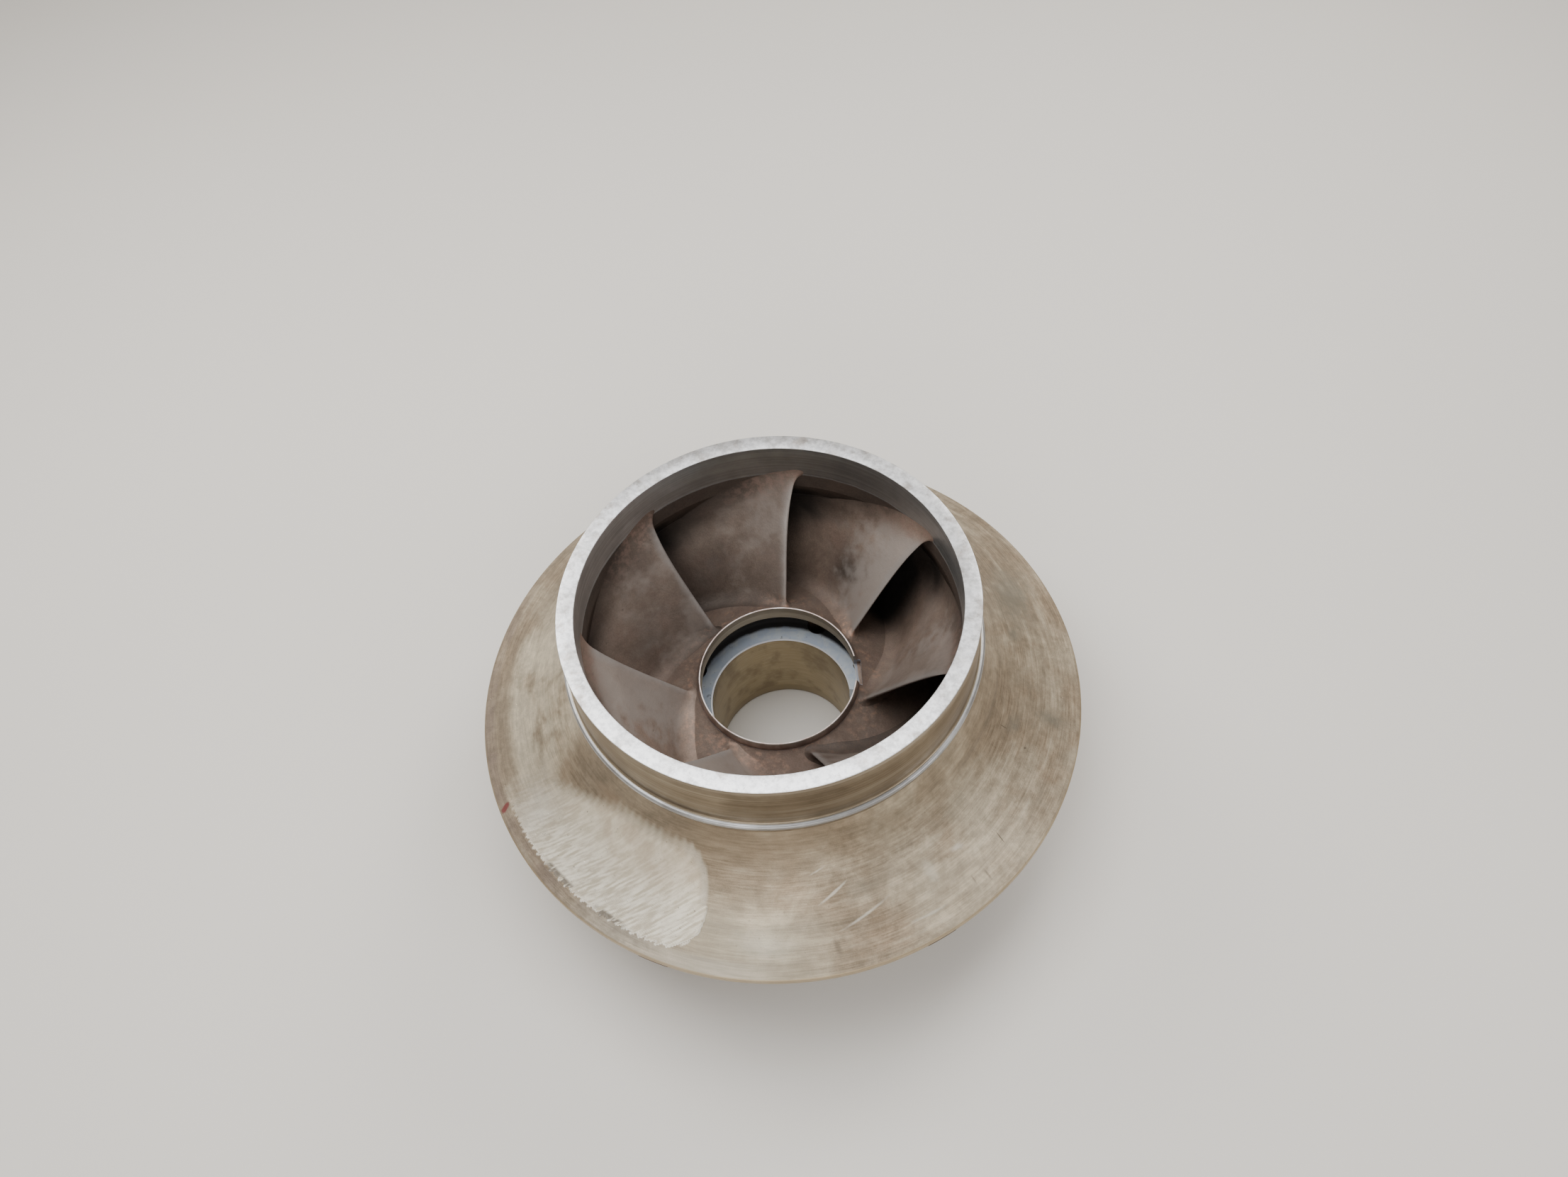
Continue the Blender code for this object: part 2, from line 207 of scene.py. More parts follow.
def closed_block(name, width, depth, height, place, angle):
    """A box cutter, turned about the shaft axis."""
    form = bmesh.new()
    bmesh.ops.create_cube(form, size=1.0)
    bmesh.ops.scale(form, vec=(width, depth, height), verts=form.verts)
    bmesh.ops.translate(form, vec=place, verts=form.verts)
    thing = formed(name, form)
    thing.rotation_euler.z = math.radians(angle)
    return thing


def drill(name, radius, bottom, top, centre, angle):
    """A round cutter at a distance from the shaft axis."""
    form = bmesh.new()
    bmesh.ops.create_cone(form, cap_ends=True, segments=40, radius1=radius, radius2=radius, depth=top - bottom)
    thing = formed(name, form)
    turn = math.radians(angle)
    thing.location = (centre * math.cos(turn), centre * math.sin(turn), (top + bottom) / 2)
    return thing


def settled(thing, tools=()):
    """Applies what the piece's modifiers make, as one plain mesh, and takes its cutters away."""
    seen = bpy.context.evaluated_depsgraph_get()
    mesh = bpy.data.meshes.new_from_object(thing.evaluated_get(seen), depsgraph=seen)
    thing.modifiers.clear()
    thing.data = mesh
    for tool in tools:
        bpy.data.objects.remove(tool, do_unlink=True)
    return thing


def cut_out(thing, tools):
    for tool in tools:
        change = thing.modifiers.new(tool.name, "BOOLEAN")
        change.object = tool
        change.solver = "EXACT"
    settled(thing, tools)
    thing.data.set_sharp_from_angle(angle=math.radians(SHARP))


# Nodes are put together as sums. Arithmetic on a value adds the nodes that work it out.
class Value:
    """One output of a node."""

    def __init__(self, socket):
        self.socket = socket

    def __add__(self, other):
        return maths("ADD", self, other)

    def __sub__(self, other):
        return maths("SUBTRACT", self, other)

    def __rsub__(self, other):
        return maths("SUBTRACT", other, self)

    def __mul__(self, other):
        return maths("MULTIPLY", self, other)

    def __truediv__(self, other):
        return maths("DIVIDE", self, other)

    def __rtruediv__(self, other):
        return maths("DIVIDE", other, self)

    def __gt__(self, other):
        return maths("GREATER_THAN", self, other)

    def __lt__(self, other):
        return maths("LESS_THAN", self, other)


class Outputs:
    """The outputs of a node, by name or number."""

    def __init__(self, sockets):
        self.sockets = sockets

    def __getitem__(self, key):
        return Value(self.sockets[key])


def tree_of(*values):
    return next(value.socket.id_data for value in values if isinstance(value, Value))


def give(value, socket):
    """Joins a value to a node's input."""
    socket.id_data.links.new(value.socket, socket)


def put(tree, kind, sockets=None, **settings):
    """Adds a node. Its inputs are given by name or number, as plain settings or as values of other nodes."""
    made = tree.nodes.new(kind)
    for name, setting in settings.items():
        setattr(made, name, setting)
    for name, value in (sockets or {}).items():
        socket = made.inputs[name]
        if isinstance(value, Value):
            give(value, socket)
        elif socket.type == "RGBA" and len(value) == 3:
            socket.default_value = (*value, 1.0)
        else:
            socket.default_value = value
    return Outputs(made.outputs)


def maths(operation, *values):
    return put(tree_of(*values), "ShaderNodeMath", dict(enumerate(values)), operation=operation)[0]


def scaled(color, factor):
    """A colour or a place times a number."""
    return put(tree_of(color), "ShaderNodeVectorMath", {0: color, "Scale": factor}, operation="SCALE")[0]


def node_group(kind, name, given, made):
    """A group with named inputs and outputs. Gives its tree, its inputs and its outputs."""
    tree = bpy.data.node_groups.new(name, kind + "NodeTree")
    for label, sort, *start in given:
        socket = tree.interface.new_socket(label, in_out="INPUT", socket_type="NodeSocket" + sort)
        if start:
            socket.default_value = (*start[0], 1.0) if sort == "Color" else start[0]
    for label, sort in made:
        tree.interface.new_socket(label, in_out="OUTPUT", socket_type="NodeSocket" + sort)
    return tree, Outputs(tree.nodes.new("NodeGroupInput").outputs), tree.nodes.new("NodeGroupOutput").inputs


# The cast skin's unevenness is made once, as a tree that also turns copies of a piece about the shaft.
def cast_surface_tree():
    tree, given, made = node_group("Geometry", "cast_surface", [
        ("Geometry", "Geometry"), ("Copies", "Int", 1), ("Lump Height", "Float", 0.0003),
        ("Lump Size", "Float", 0.02), ("Seed", "Float", 4.0), ("Finish", "Material")],
        [("Geometry", "Geometry")])
    turn = put(tree, "GeometryNodeInputIndex")[0] * (2 * math.pi / given["Copies"])
    spin = put(tree, "FunctionNodeEulerToRotation", {0: put(tree, "ShaderNodeCombineXYZ", {"Z": turn})[0]})[0]
    centre = put(tree, "GeometryNodePoints", {"Count": given["Copies"]})[0]
    copies = put(tree, "GeometryNodeInstanceOnPoints",
                 {"Points": centre, "Instance": given["Geometry"], "Rotation": spin})[0]
    solid = put(tree, "GeometryNodeRealizeInstances", {"Geometry": copies})[0]
    lumps = put(tree, "ShaderNodeTexNoise", {
        "Vector": put(tree, "GeometryNodeInputPosition")[0], "W": given["Seed"],
        "Scale": 1.0 / given["Lump Size"], "Detail": 2.0, "Roughness": 0.45}, noise_dimensions="4D")[0]
    skin = put(tree, "GeometryNodeInputNamedAttribute", {"Name": "cast"}, data_type="FLOAT")[0]
    lift = (lumps - 0.5) * (given["Lump Height"] * skin)
    offset = scaled(put(tree, "GeometryNodeInputNormal")[0], lift)
    raised = put(tree, "GeometryNodeSetPosition", {"Geometry": solid, "Offset": offset})[0]
    give(put(tree, "GeometryNodeSetMaterial", {"Geometry": raised, "Material": given["Finish"]})[0], made[0])
    return tree


cast_surface = cast_surface_tree()


def give_cast_surface(thing, finish, copies=1, lump_height=0.0004, lump_size=0.02):
    """Runs the tree on a piece and keeps the result as a plain mesh."""
    change = thing.modifiers.new("cast_surface", "NODES")
    change.node_group = cast_surface
    named = {item.name: item.identifier for item in cast_surface.interface.items_tree if item.in_out == "INPUT"}
    for name, value in (("Copies", copies), ("Lump Height", lump_height), ("Lump Size", lump_size),
                        ("Finish", finish)):
        change[named[name]] = value
    settled(thing)


# Shader groups for the metal. They read the place on the piece and give colours, masks and heights.
def ramp(value, low, high, to_low=0.0, to_high=1.0):
    """Smoothly takes low..high to to_low..to_high."""
    sockets = {"Value": value, "From Min": low, "From Max": high, "To Min": to_low, "To Max": to_high}
    return put(tree_of(value), "ShaderNodeMapRange", sockets, interpolation_type="SMOOTHSTEP")[0]


def blend(factor, first, second):
    """Colours mixed by a factor."""
    sockets = {0: factor, 6: first, 7: second}
    return put(tree_of(factor, first, second), "ShaderNodeMix", sockets, data_type="RGBA")[2]


def either(factor, first, second):
    """Numbers mixed by a factor."""
    return put(tree_of(factor), "ShaderNodeMix", {0: factor, 2: first, 3: second}, data_type="FLOAT")[0]


def noise(place, size, detail=3.0, roughness=0.5, distortion=0.0):
    return put(tree_of(place), "ShaderNodeTexNoise", {
        "Vector": place, "Scale": 1.0 / size, "Detail": detail, "Roughness": roughness,
        "Distortion": distortion})[0]


def use(tree, group, sockets):
    return put(tree, "ShaderNodeGroup", sockets, node_tree=group)


# Place round the shaft: radius, height, angle in radians from +X, and the level direction from the axis.
round_place, given, made = node_group("Shader", "round_place", [("Place", "Vector")], [
    ("Radius", "Float"), ("Height", "Float"), ("Angle", "Float"), ("Around", "Vector")])
parts = put(round_place, "ShaderNodeSeparateXYZ", {0: given["Place"]})
level = put(round_place, "ShaderNodeCombineXYZ", {0: parts[0], 1: parts[1], 2: 0.0})[0]
give(put(round_place, "ShaderNodeVectorMath", {0: level}, operation="LENGTH")["Value"], made["Radius"])
give(parts[2], made["Height"])
give(maths("ARCTAN2", parts[1], parts[0]), made["Angle"])
give(put(round_place, "ShaderNodeVectorMath", {0: level}, operation="NORMALIZE")[0], made["Around"])

# Lathe lines: fine rings that vary slowly on their way round.
lathe_lines, given, made = node_group("Shader", "lathe_lines", [
    ("Across", "Float", 0.0), ("Around", "Vector"), ("Pitch", "Float", 0.0006), ("Drift", "Float", 1.2)],
    [("Lines", "Float")])
drift = put(lathe_lines, "ShaderNodeSeparateXYZ", {0: scaled(given["Around"], given["Drift"])})
steps = given["Across"] / given["Pitch"]
along = put(lathe_lines, "ShaderNodeCombineXYZ", {0: drift[0], 1: drift[1], 2: steps})[0]
give(noise(along, 1.0, 3.0, 0.6), made["Lines"])


def lathe(about, across, pitch, drift):
    """Lathe lines that follow one another along the radius or the height."""
    sockets = {"Across": about[across], "Around": about["Around"], "Pitch": pitch, "Drift": drift}
    return use(tree_of(about[across]), lathe_lines, sockets)[0]


# Cast skin: broad stains, a second tint, a fine grain and small pits.
cast_skin, given, made = node_group("Shader", "cast_skin", [
    ("Place", "Vector"), ("Dark", "Color", (0.1, 0.08, 0.07)), ("Light", "Color", (0.3, 0.27, 0.24)),
    ("Tint", "Color", (0.3, 0.2, 0.16)), ("Tint Amount", "Float", 0.5), ("Stain Size", "Float", 0.05),
    ("Grain Size", "Float", 0.0016), ("Pits", "Float", 0.5)],
    [("Color", "Color"), ("Rough", "Float"), ("Height", "Float")])
by_stain = scaled(given["Place"], 1.0 / given["Stain Size"])
stains = noise(by_stain, 1.0, 5.0, 0.62, 0.6)
shifted = put(cast_skin, "ShaderNodeVectorMath", {0: by_stain, 1: (7.3, 2.1, 5.9)}, operation="ADD")[0]
tints = noise(shifted, 0.8, 4.0, 0.6)
by_grain = scaled(given["Place"], 1.0 / given["Grain Size"])
grain = noise(by_grain, 1.0, 3.0, 0.6)
coarse = noise(by_grain, 5.0, 2.0, 0.5)
pit_place = put(cast_skin, "ShaderNodeTexVoronoi", {"Vector": by_grain, "Scale": 0.11})
pit_kept = put(cast_skin, "ShaderNodeSeparateColor", {0: pit_place["Color"]})[0] > 0.72
pits = ramp(pit_place["Distance"], 0.05, 0.11, 1.0, 0.0) * pit_kept * given["Pits"]
ground_color = blend(ramp(stains, 0.36, 0.66), given["Dark"], given["Light"])
tint_share = ramp(tints, 0.48, 0.7) * given["Tint Amount"]
ground_color = blend(tint_share, ground_color, given["Tint"])
shade = ramp(grain, 0.25, 0.75, 0.86, 1.1) + ramp(coarse, 0.3, 0.7, -0.05, 0.05)
give(scaled(ground_color, shade * (1.0 - pits * 0.6)), made["Color"])
give(ramp(stains, 0.3, 0.7, 0.06, -0.06), made["Rough"])
give(grain * 0.35 + coarse * 0.65 - pits, made["Height"])

# One mark at a place on a turned surface: a smudge, a stain or a scratch, with its own slant and ragged edge.
metal_mark, given, made = node_group("Shader", "metal_mark", [
    ("Radius", "Float", 0.0), ("Angle", "Float", 0.0), ("Ragged", "Float", 0.0),
    ("At Radius", "Float", 0.2), ("At Angle", "Float", 0.0), ("Slant", "Float", 0.0),
    ("Half Length", "Float", 0.01), ("Half Width", "Float", 0.003), ("Edge", "Float", 0.5)],
    [("Mask", "Float")])
turn = maths("WRAP", given["Angle"] - maths("RADIANS", given["At Angle"]), math.pi, -math.pi)
arc = turn * given["At Radius"]
out = given["Radius"] - given["At Radius"]
slant = maths("RADIANS", given["Slant"])
cosine, sine = maths("COSINE", slant), maths("SINE", slant)
lengthways = (arc * cosine + out * sine) / given["Half Length"]
crossways = (out * cosine - arc * sine) / given["Half Width"]
reach = maths("SQRT", lengthways * lengthways + crossways * crossways) + given["Ragged"]
give(ramp(reach, 1.0 - given["Edge"], 1.0, 1.0, 0.0), made["Mask"])


def new_finish(name, metallic):
    """A metal material with its place nodes. Gives the material, its tree, the place and the round place."""
    material = bpy.data.materials.new(name)
    material.use_nodes = True
    tree = material.node_tree
    tree.nodes["Principled BSDF"].inputs["Metallic"].default_value = metallic
    place = put(tree, "ShaderNodeTexCoord")["Object"]
    return material, tree, place, use(tree, round_place, {"Place": place})


def finish_with(tree, color, roughness, height, depth, metallic=None):
    """Feeds colour, roughness, relief and, where it varies, metal to the material's shader."""
    shader = tree.nodes["Principled BSDF"].inputs
    give(color, shader["Base Color"])
    give(roughness, shader["Roughness"])
    relief = put(tree, "ShaderNodeBump", {"Height": height, "Distance": depth, "Strength": 1.0})
    give(relief["Normal"], shader["Normal"])
    if metallic is not None:
        give(metallic, shader["Metallic"])


def attribute(tree, name):
    return put(tree, "ShaderNodeAttribute", attribute_name=name)["Fac"]


def passage_skin(tree, place, about, shade_reach=None):
    """Colour, roughness and height of the cast skin, with painted shade inside the passages."""
    skin = use(tree, cast_skin, {"Place": place, "Dark": (0.138, 0.099, 0.077), "Light": (0.184, 0.136, 0.107),
               "Tint": (0.200, 0.130, 0.100), "Tint Amount": 0.35, "Stain Size": 0.040, "Grain Size": 0.0012,
               "Pits": 0.35})
    cool = ramp(noise(place, 0.034, 3.0, 0.5, 0.5), 0.5, 0.8, 0.0, 0.4)
    color = blend(cool, skin["Color"], (0.17, 0.146, 0.13))
    # orange speckles round the nose, close to the hub
    near_nose = ramp(about["Radius"], 0.066, 0.1, 1.0, 0.0)
    near_nose = near_nose * ramp(attribute(tree, "from_hub"), 0.002, 0.016, 1.0, 0.0)
    speckle = ramp(noise(place, 0.0042, 3.0, 0.7), 0.46, 0.66)
    speckle = speckle * ramp(noise(place, 0.02, 2.0), 0.36, 0.62, 0.15, 1.0)
    flush = near_nose * speckle
    color = blend(flush * 0.6, color, (0.36, 0.215, 0.15))
    # painted shade: the throat at the back right is made nearly black, low down behind its leading edge
    degrees = maths("DEGREES", about["Angle"])
    throat = ramp(degrees, 28.0, 41.0) * ramp(degrees, 58.0, 76.0, 1.0, 0.0)
    throat = throat * ramp(about["Radius"], 0.092, 0.108, 0.0, 0.94)
    throat = throat * ramp(about["Height"], 0.126, 0.16, 1.0, 0.0)
    # and painted shade in each corner under the shroud's neck, just behind a vane's tip
    corner = maths("FRACT", (FIRST_TIP_ANGLE - degrees) / (360.0 / VANES))
    corner = ramp(corner, 0.0, 0.03) * ramp(corner, 0.14, 0.42, 1.0, 0.0)
    corner = corner * ramp(about["Radius"], 0.13, 0.138, 0.0, 0.88)
    corner = corner * ramp(about["Height"], 0.176, 0.188, 1.0, 0.0)
    corner = corner * ramp(about["Height"], 0.134, 0.15)
    # painted shade under the front shroud, outwards from the eye, eased off again towards the outlet
    deep = ramp(about["Radius"], 0.126, 0.148, 0.0, 0.84)
    dark = maths("MAXIMUM", deep, maths("MAXIMUM", throat, corner))
    dark = dark * ramp(about["Radius"], 0.172, 0.2, 1.0, 0.12)
    # the caller may hold the painted shade back, share by share
    if shade_reach is not None:
        dark = dark * shade_reach
    return scaled(color, 1.0 - dark), skin["Rough"] + (dark * 0.3 + 0.58), skin["Height"]


def towards(about, direction):
    """1 in a direction from the shaft, falling to -1 opposite."""
    return maths("COSINE", about["Angle"] - math.radians(direction))


def hub_finish():
    material, tree, place, about = new_finish("hub_metal", CAST_METALLIC)
    cast_color, cast_rough, cast_height = passage_skin(tree, place, about)
    lines_up = lathe(about, "Height", 0.0013, 2.2)
    lines_out = lathe(about, "Radius", 0.0009, 2.0)
    clouds = noise(place, 0.014, 5.0, 0.65, 0.4)
    # recess floor painted bluish, a painted reflection; painted shade darkens it towards its wall and makes the
    # wall and the roof dark, and they stay rough
    floor_color = blend(ramp(clouds, 0.35, 0.68), (0.7, 0.79, 0.93), (0.9, 0.96, 1.0))
    spots = ramp(noise(place, 0.0035, 2.0, 0.5), 0.66, 0.74)
    floor_color = blend(spots * 0.5, floor_color, (0.1, 0.09, 0.08))
    outer = ramp(clouds * 0.003 + about["Radius"], 0.068, 0.0715)
    under_roof = ramp(about["Height"], RECESS_FLOOR + 0.0005, RECESS_FLOOR + 0.0015)
    under_roof = under_roof * (about["Radius"] > NOSE_BORE + 0.0005)
    dark = maths("MAXIMUM", outer, under_roof)
    # painted shade on its left side
    floor_color = scaled(floor_color, ramp(towards(about, 20.0), -0.7, 0.2, 0.6, 1.0))
    floor_color = blend(dark, floor_color, (0.03, 0.028, 0.028))
    # a painted brassy reflection in the bore, with darker stains at mid height
    stain = ramp(noise(place, 0.02, 4.0, 0.6), 0.44, 0.66) * ramp(lines_up, 0.35, 0.6, 0.5, 1.0)
    bore_color = blend(ramp(lines_up, 0.3, 0.7), (0.36, 0.285, 0.17), (0.45, 0.36, 0.225))
    bore_color = blend(stain * 0.6, bore_color, (0.16, 0.12, 0.075))
    in_bore = about["Radius"] < HUB_BORE + 0.0004
    on_lip = about["Radius"] < HUB_BORE + 0.0016
    in_nose = about["Height"] > RECESS_ROOF - 0.0006
    nose_color = blend(ramp(lines_up, 0.3, 0.7), (0.34, 0.3, 0.245), (0.44, 0.4, 0.33))
    inside = blend(on_lip, floor_color, (0.86, 0.87, 0.9))
    inside = blend(in_bore, inside, bore_color)
    in_notch = in_nose * (about["Radius"] > NOSE_BORE + 0.0002)
    inside = blend(in_nose, inside, nose_color)
    inside = blend(in_notch, inside, (0.3, 0.31, 0.34))
    inside_rough = either(in_bore, either(dark, 0.44, 0.7), 0.3)
    lines = either(in_bore, lines_out, lines_up)
    skin = ramp(attribute(tree, "cast"), 0.4, 0.6)
    color = blend(skin, inside, cast_color)
    roughness = either(skin, lines * 0.12 + inside_rough, cast_rough)
    bright = maths("MAXIMUM", in_bore, in_nose)
    metallic = either(skin, either(bright, 0.35, 0.8), CAST_METALLIC)
    finish_with(tree, color, roughness, either(skin, lines * 0.25, cast_height), CAST_RELIEF, metallic)
    return material


water_side = contour((NOSE_OUTER + 0.0002, NOSE_RIM), -0.95, (BACK_OUTER, BACK_OUTLET), -0.40, 96)


def water_height(radius):
    return float(np.interp(radius, water_side[:, 0], water_side[:, 1]))


hub_outline = skinned([point for point in water_side if point[0] < HUB_OUTER], CAST)
hub_outline += skinned([(HUB_OUTER, z) for z in (water_height(HUB_OUTER), 0.060, 0.030, REAR_RING_TOP)], CAST)
hub_outline += skinned([(HUB_BORE, REAR_RING_TOP), (HUB_BORE, 0.045), (HUB_BORE, RECESS_FLOOR - 0.0011)])
# a low lip stands round the bore, on the floor of the recess
hub_outline += skinned([(HUB_BORE + 0.0011, RECESS_FLOOR + 0.0003), (HUB_BORE + 0.0016, RECESS_FLOOR + 0.0003),
                        (HUB_BORE + 0.0021, RECESS_FLOOR), (0.066, RECESS_FLOOR)])
hub_outline += rounded((RECESS_RADIUS - 0.003, RECESS_FLOOR), (RECESS_RADIUS, RECESS_FLOOR),
                       (RECESS_RADIUS, RECESS_FLOOR + 0.003))
hub_outline += rounded((RECESS_RADIUS, RECESS_ROOF_EDGE - 0.004), (RECESS_RADIUS, RECESS_ROOF_EDGE),
                       (RECESS_RADIUS - 0.004, RECESS_ROOF_EDGE + 0.0015))
hub_outline += skinned([(NOSE_BORE, RECESS_ROOF), (NOSE_BORE, NOSE_RIM), (NOSE_OUTER, NOSE_RIM)])
hub = turned("hub_casting", hub_outline, even_turns(288))
key_reach = HUB_BORE + KEYWAY_DEPTH
hub_tools = [
    closed_block("keyway", key_reach, KEYWAY_WIDTH, RECESS_FLOOR + 0.002,
                 (key_reach / 2, 0.0, RECESS_FLOOR / 2), KEYWAY_ANGLE),
    closed_block("notch", 0.0105, NOTCH_WIDTH, NOTCH_HEIGHT, (0.06045, 0.0, NOTCH_BOTTOM + NOTCH_HEIGHT / 2),
                 NOTCH_ANGLE),
]
for i, (radius, centre, angle) in enumerate(HUB_HOLES):
    hub_tools.append(drill(f"hole_{i + 1}", radius, HOLE_BOTTOM, RECESS_FLOOR + 0.003, centre, angle))
cut_out(hub, hub_tools)
give_cast_surface(hub, hub_finish())
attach(hub, "root")
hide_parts("hub_seat", "hub_nose")


# Rear ring. The machined end of the hub that seats on the shaft's shoulder, and on which the
# impeller stands. It is turned from the casting, with the keyway running on through it.
def rear_finish():
    material, tree, place, about = new_finish("rear_ring_steel", 0.85)
    lines = lathe(about, "Radius", 0.0006, 1.4)
    clouds = noise(place, 0.03, 4.0, 0.6)
    tone = lines * 0.5 + clouds * 0.5
    color = blend(ramp(tone, 0.36, 0.62), (0.4, 0.39, 0.37), (0.56, 0.55, 0.53))
    # a painted brassy reflection in the bore, as in the hub's bore
    in_bore = about["Radius"] < HUB_BORE + 0.0012
    color = blend(in_bore, color, blend(clouds, (0.28, 0.22, 0.13), (0.4, 0.32, 0.2)))
    finish_with(tree, color, lines * 0.14 + 0.27, lines * 0.3, LATHE_RELIEF)
    return material


REAR_OUTER = 0.0850
rear_outline = skinned([(REAR_OUTER - 0.0015, REAR_RING_TOP), (REAR_OUTER, REAR_RING_TOP)])
rear_outline += rounded((REAR_OUTER, 0.0020), (REAR_OUTER, 0.0), (REAR_OUTER - 0.0020, 0.0))
rear_outline += rounded((HUB_BORE + 0.002, 0.0), (HUB_BORE, 0.0), (HUB_BORE, 0.0020))
rear_outline += skinned([(HUB_BORE, REAR_RING_TOP)])
rear_ring = turned("rear_ring", rear_outline, even_turns(240))
cut_out(rear_ring, [closed_block("rear_keyway", key_reach, KEYWAY_WIDTH, 0.03, (key_reach / 2, 0.0, 0.005),
                                 KEYWAY_ANGLE)])
rear_ring.data.materials.append(rear_finish())
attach(rear_ring, "root")
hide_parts("hub_rear_ring")

# Nose ring. A thin spigot turned on the end of the hub's nose, bright on top,
# with the slot for the lock plate cut across it.
NOSE_TOP = 0.1221
nose_outline = rounded((NOSE_OUTER - 0.0022, NOSE_TOP), (NOSE_OUTER - 0.0014, NOSE_TOP - 0.0004),
                       (NOSE_OUTER, NOSE_TOP - 0.0040), 6)
nose_outline += skinned([(NOSE_OUTER, NOSE_RIM), (NOSE_BORE, NOSE_RIM)])
nose_outline += rounded((NOSE_BORE, NOSE_TOP - 0.0005), (NOSE_BORE, NOSE_TOP),
                        (NOSE_BORE + 0.0005, NOSE_TOP), 3)
nose_ring = turned("nose_ring", nose_outline, even_turns(288))
cut_out(nose_ring, [closed_block("ring_notch", 0.0200, NOTCH_WIDTH, 0.03, (0.0625, 0.0, NOSE_TOP),
                                 NOTCH_ANGLE)])


def nose_finish():
    material, tree, place, about = new_finish("nose_ring_steel", 0.8)
    lines = lathe(about, "Height", 0.0011, 2.0)
    color = blend(ramp(lines, 0.3, 0.7), (0.23, 0.202, 0.166), (0.3, 0.272, 0.228))
    worn_and_lit = ramp(noise(place, 0.01, 4.0, 0.6), 0.36, 0.64)
    edge = blend(worn_and_lit, (0.46, 0.36, 0.32), (0.64, 0.58, 0.55))
    on_edge = ramp(about["Height"], NOSE_TOP - 0.0007, NOSE_TOP - 0.0002)
    outside = ramp(about["Radius"], NOSE_OUTER - 0.0018, NOSE_OUTER - 0.001)
    color = blend(on_edge, color, edge)
    color = blend(outside, color, blend(worn_and_lit, (0.26, 0.19, 0.165), (0.36, 0.28, 0.24)))
    finish_with(tree, color, lines * 0.16 + 0.34, lines * 0.3, LATHE_RELIEF)
    return material


nose_ring.data.materials.append(nose_finish())
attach(nose_ring, "root")
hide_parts("hub_nose_ring")

# Back shroud. The plate of the casting behind the vanes, rough from the mould on both sides
# and turned only on its outer edge.
# The skin outside the passages gets none of the painted shade and is paler.
OUTSIDE_SKIN = 0.9
BACK_THICKNESS = 0.0075
BACK_ROOT_REACH = 0.0140
BACK_ROOT_THICKNESS = 0.0125
back_root_outer = HUB_OUTER + BACK_ROOT_REACH
under_root = water_height(back_root_outer) - BACK_ROOT_THICKNESS
back_outline = skinned([(HUB_OUTER, water_height(HUB_OUTER))], CAST)
back_outline += skinned([point for point in water_side if HUB_OUTER < point[0] < BACK_OUTER - 0.0008], CAST)
back_outline += rounded((BACK_OUTER - 0.0008, BACK_OUTLET + 0.0003), (BACK_OUTER, BACK_OUTLET),
                        (BACK_OUTER, BACK_OUTLET - 0.0009), 3, OUTSIDE_SKIN)
back_outline += rounded((BACK_OUTER, BACK_OUTLET - 0.0066), (BACK_OUTER, BACK_OUTLET - BACK_THICKNESS),
                        (BACK_OUTER - 0.0009, BACK_OUTLET - 0.0072), 3, OUTSIDE_SKIN)
for radius in np.linspace(BACK_OUTER - 0.005, back_root_outer + 0.004, 24):
    share = (radius - back_root_outer) / (BACK_OUTER - back_root_outer)
    back_outline.append((radius, under_root + (BACK_OUTLET - BACK_THICKNESS - under_root) * share, OUTSIDE_SKIN))
back_outline += rounded((back_root_outer, under_root), (HUB_OUTER, under_root + 0.004),
                        (HUB_OUTER, under_root - 0.0140), 12, OUTSIDE_SKIN)
back_shroud = turned("back_shroud", back_outline, even_turns(360))


def back_finish():
    material, tree, place, about = new_finish("back_shroud_skin", CAST_METALLIC)
    shade_reach = ramp(attribute(tree, "cast"), OUTSIDE_SKIN + 0.02, CAST - 0.02)
    color, roughness, height = passage_skin(tree, place, about, shade_reach)
    color = blend(shade_reach, blend(0.55, color, (0.36, 0.3, 0.25)), color)
    finish_with(tree, color, roughness, height, CAST_RELIEF)
    return material


give_cast_surface(back_shroud, back_finish())
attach(back_shroud, "root")
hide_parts("back_shroud_root", "back_shroud_plate")

# Front shroud outline, that the vanes reach up to.
SHROUD_TOP = 0.1717
NECK_OUTER = 0.1553
NECK_INNER = 0.1410
NECK_TURN = (0.1405, 0.1765)
RIM_RADIUS = 0.2364
RIM_TOP = 0.1029
RIM_EDGE = 0.0057
EYE_BORE = 0.1402
COLLAR_TOP = 0.1824
shroud_outside = contour((NECK_OUTER, SHROUD_TOP), -2.2, (RIM_RADIUS, RIM_TOP), -0.45, 116)
shroud_inside = contour((NECK_INNER, SHROUD_TOP), -2.4, (RIM_RADIUS, RIM_TOP - RIM_EDGE), -0.45, 36)

# Vanes. Seven blades cast in one with both shrouds, each wrapped round the hub from the eye to the rim,
# with thin leading edges that were dressed by hand and deep fillets where they run into the walls.
VANE_THICKNESS = 0.0062
VANE_FIRST_ANGLE = 88.0
VANE_WRAP = (125.0, 116.0)
VANE_EARLY = (0.30, 0.40)
VANE_LEAN = -3.2
VANE_END = 0.996
VANE_NOSE = 0.018
HUB_FILLET = (0.0060, 0.0110)
SHROUD_FILLET = (0.0070, 0.0130)


def line_points(line):
    """A polyline and the share of its length at each of its points."""
    line = np.array(line)
    steps = np.hypot(*np.diff(line, axis=0).T)
    return line, np.concatenate([[0.0], np.cumsum(steps)]) / steps.sum(), steps.sum()


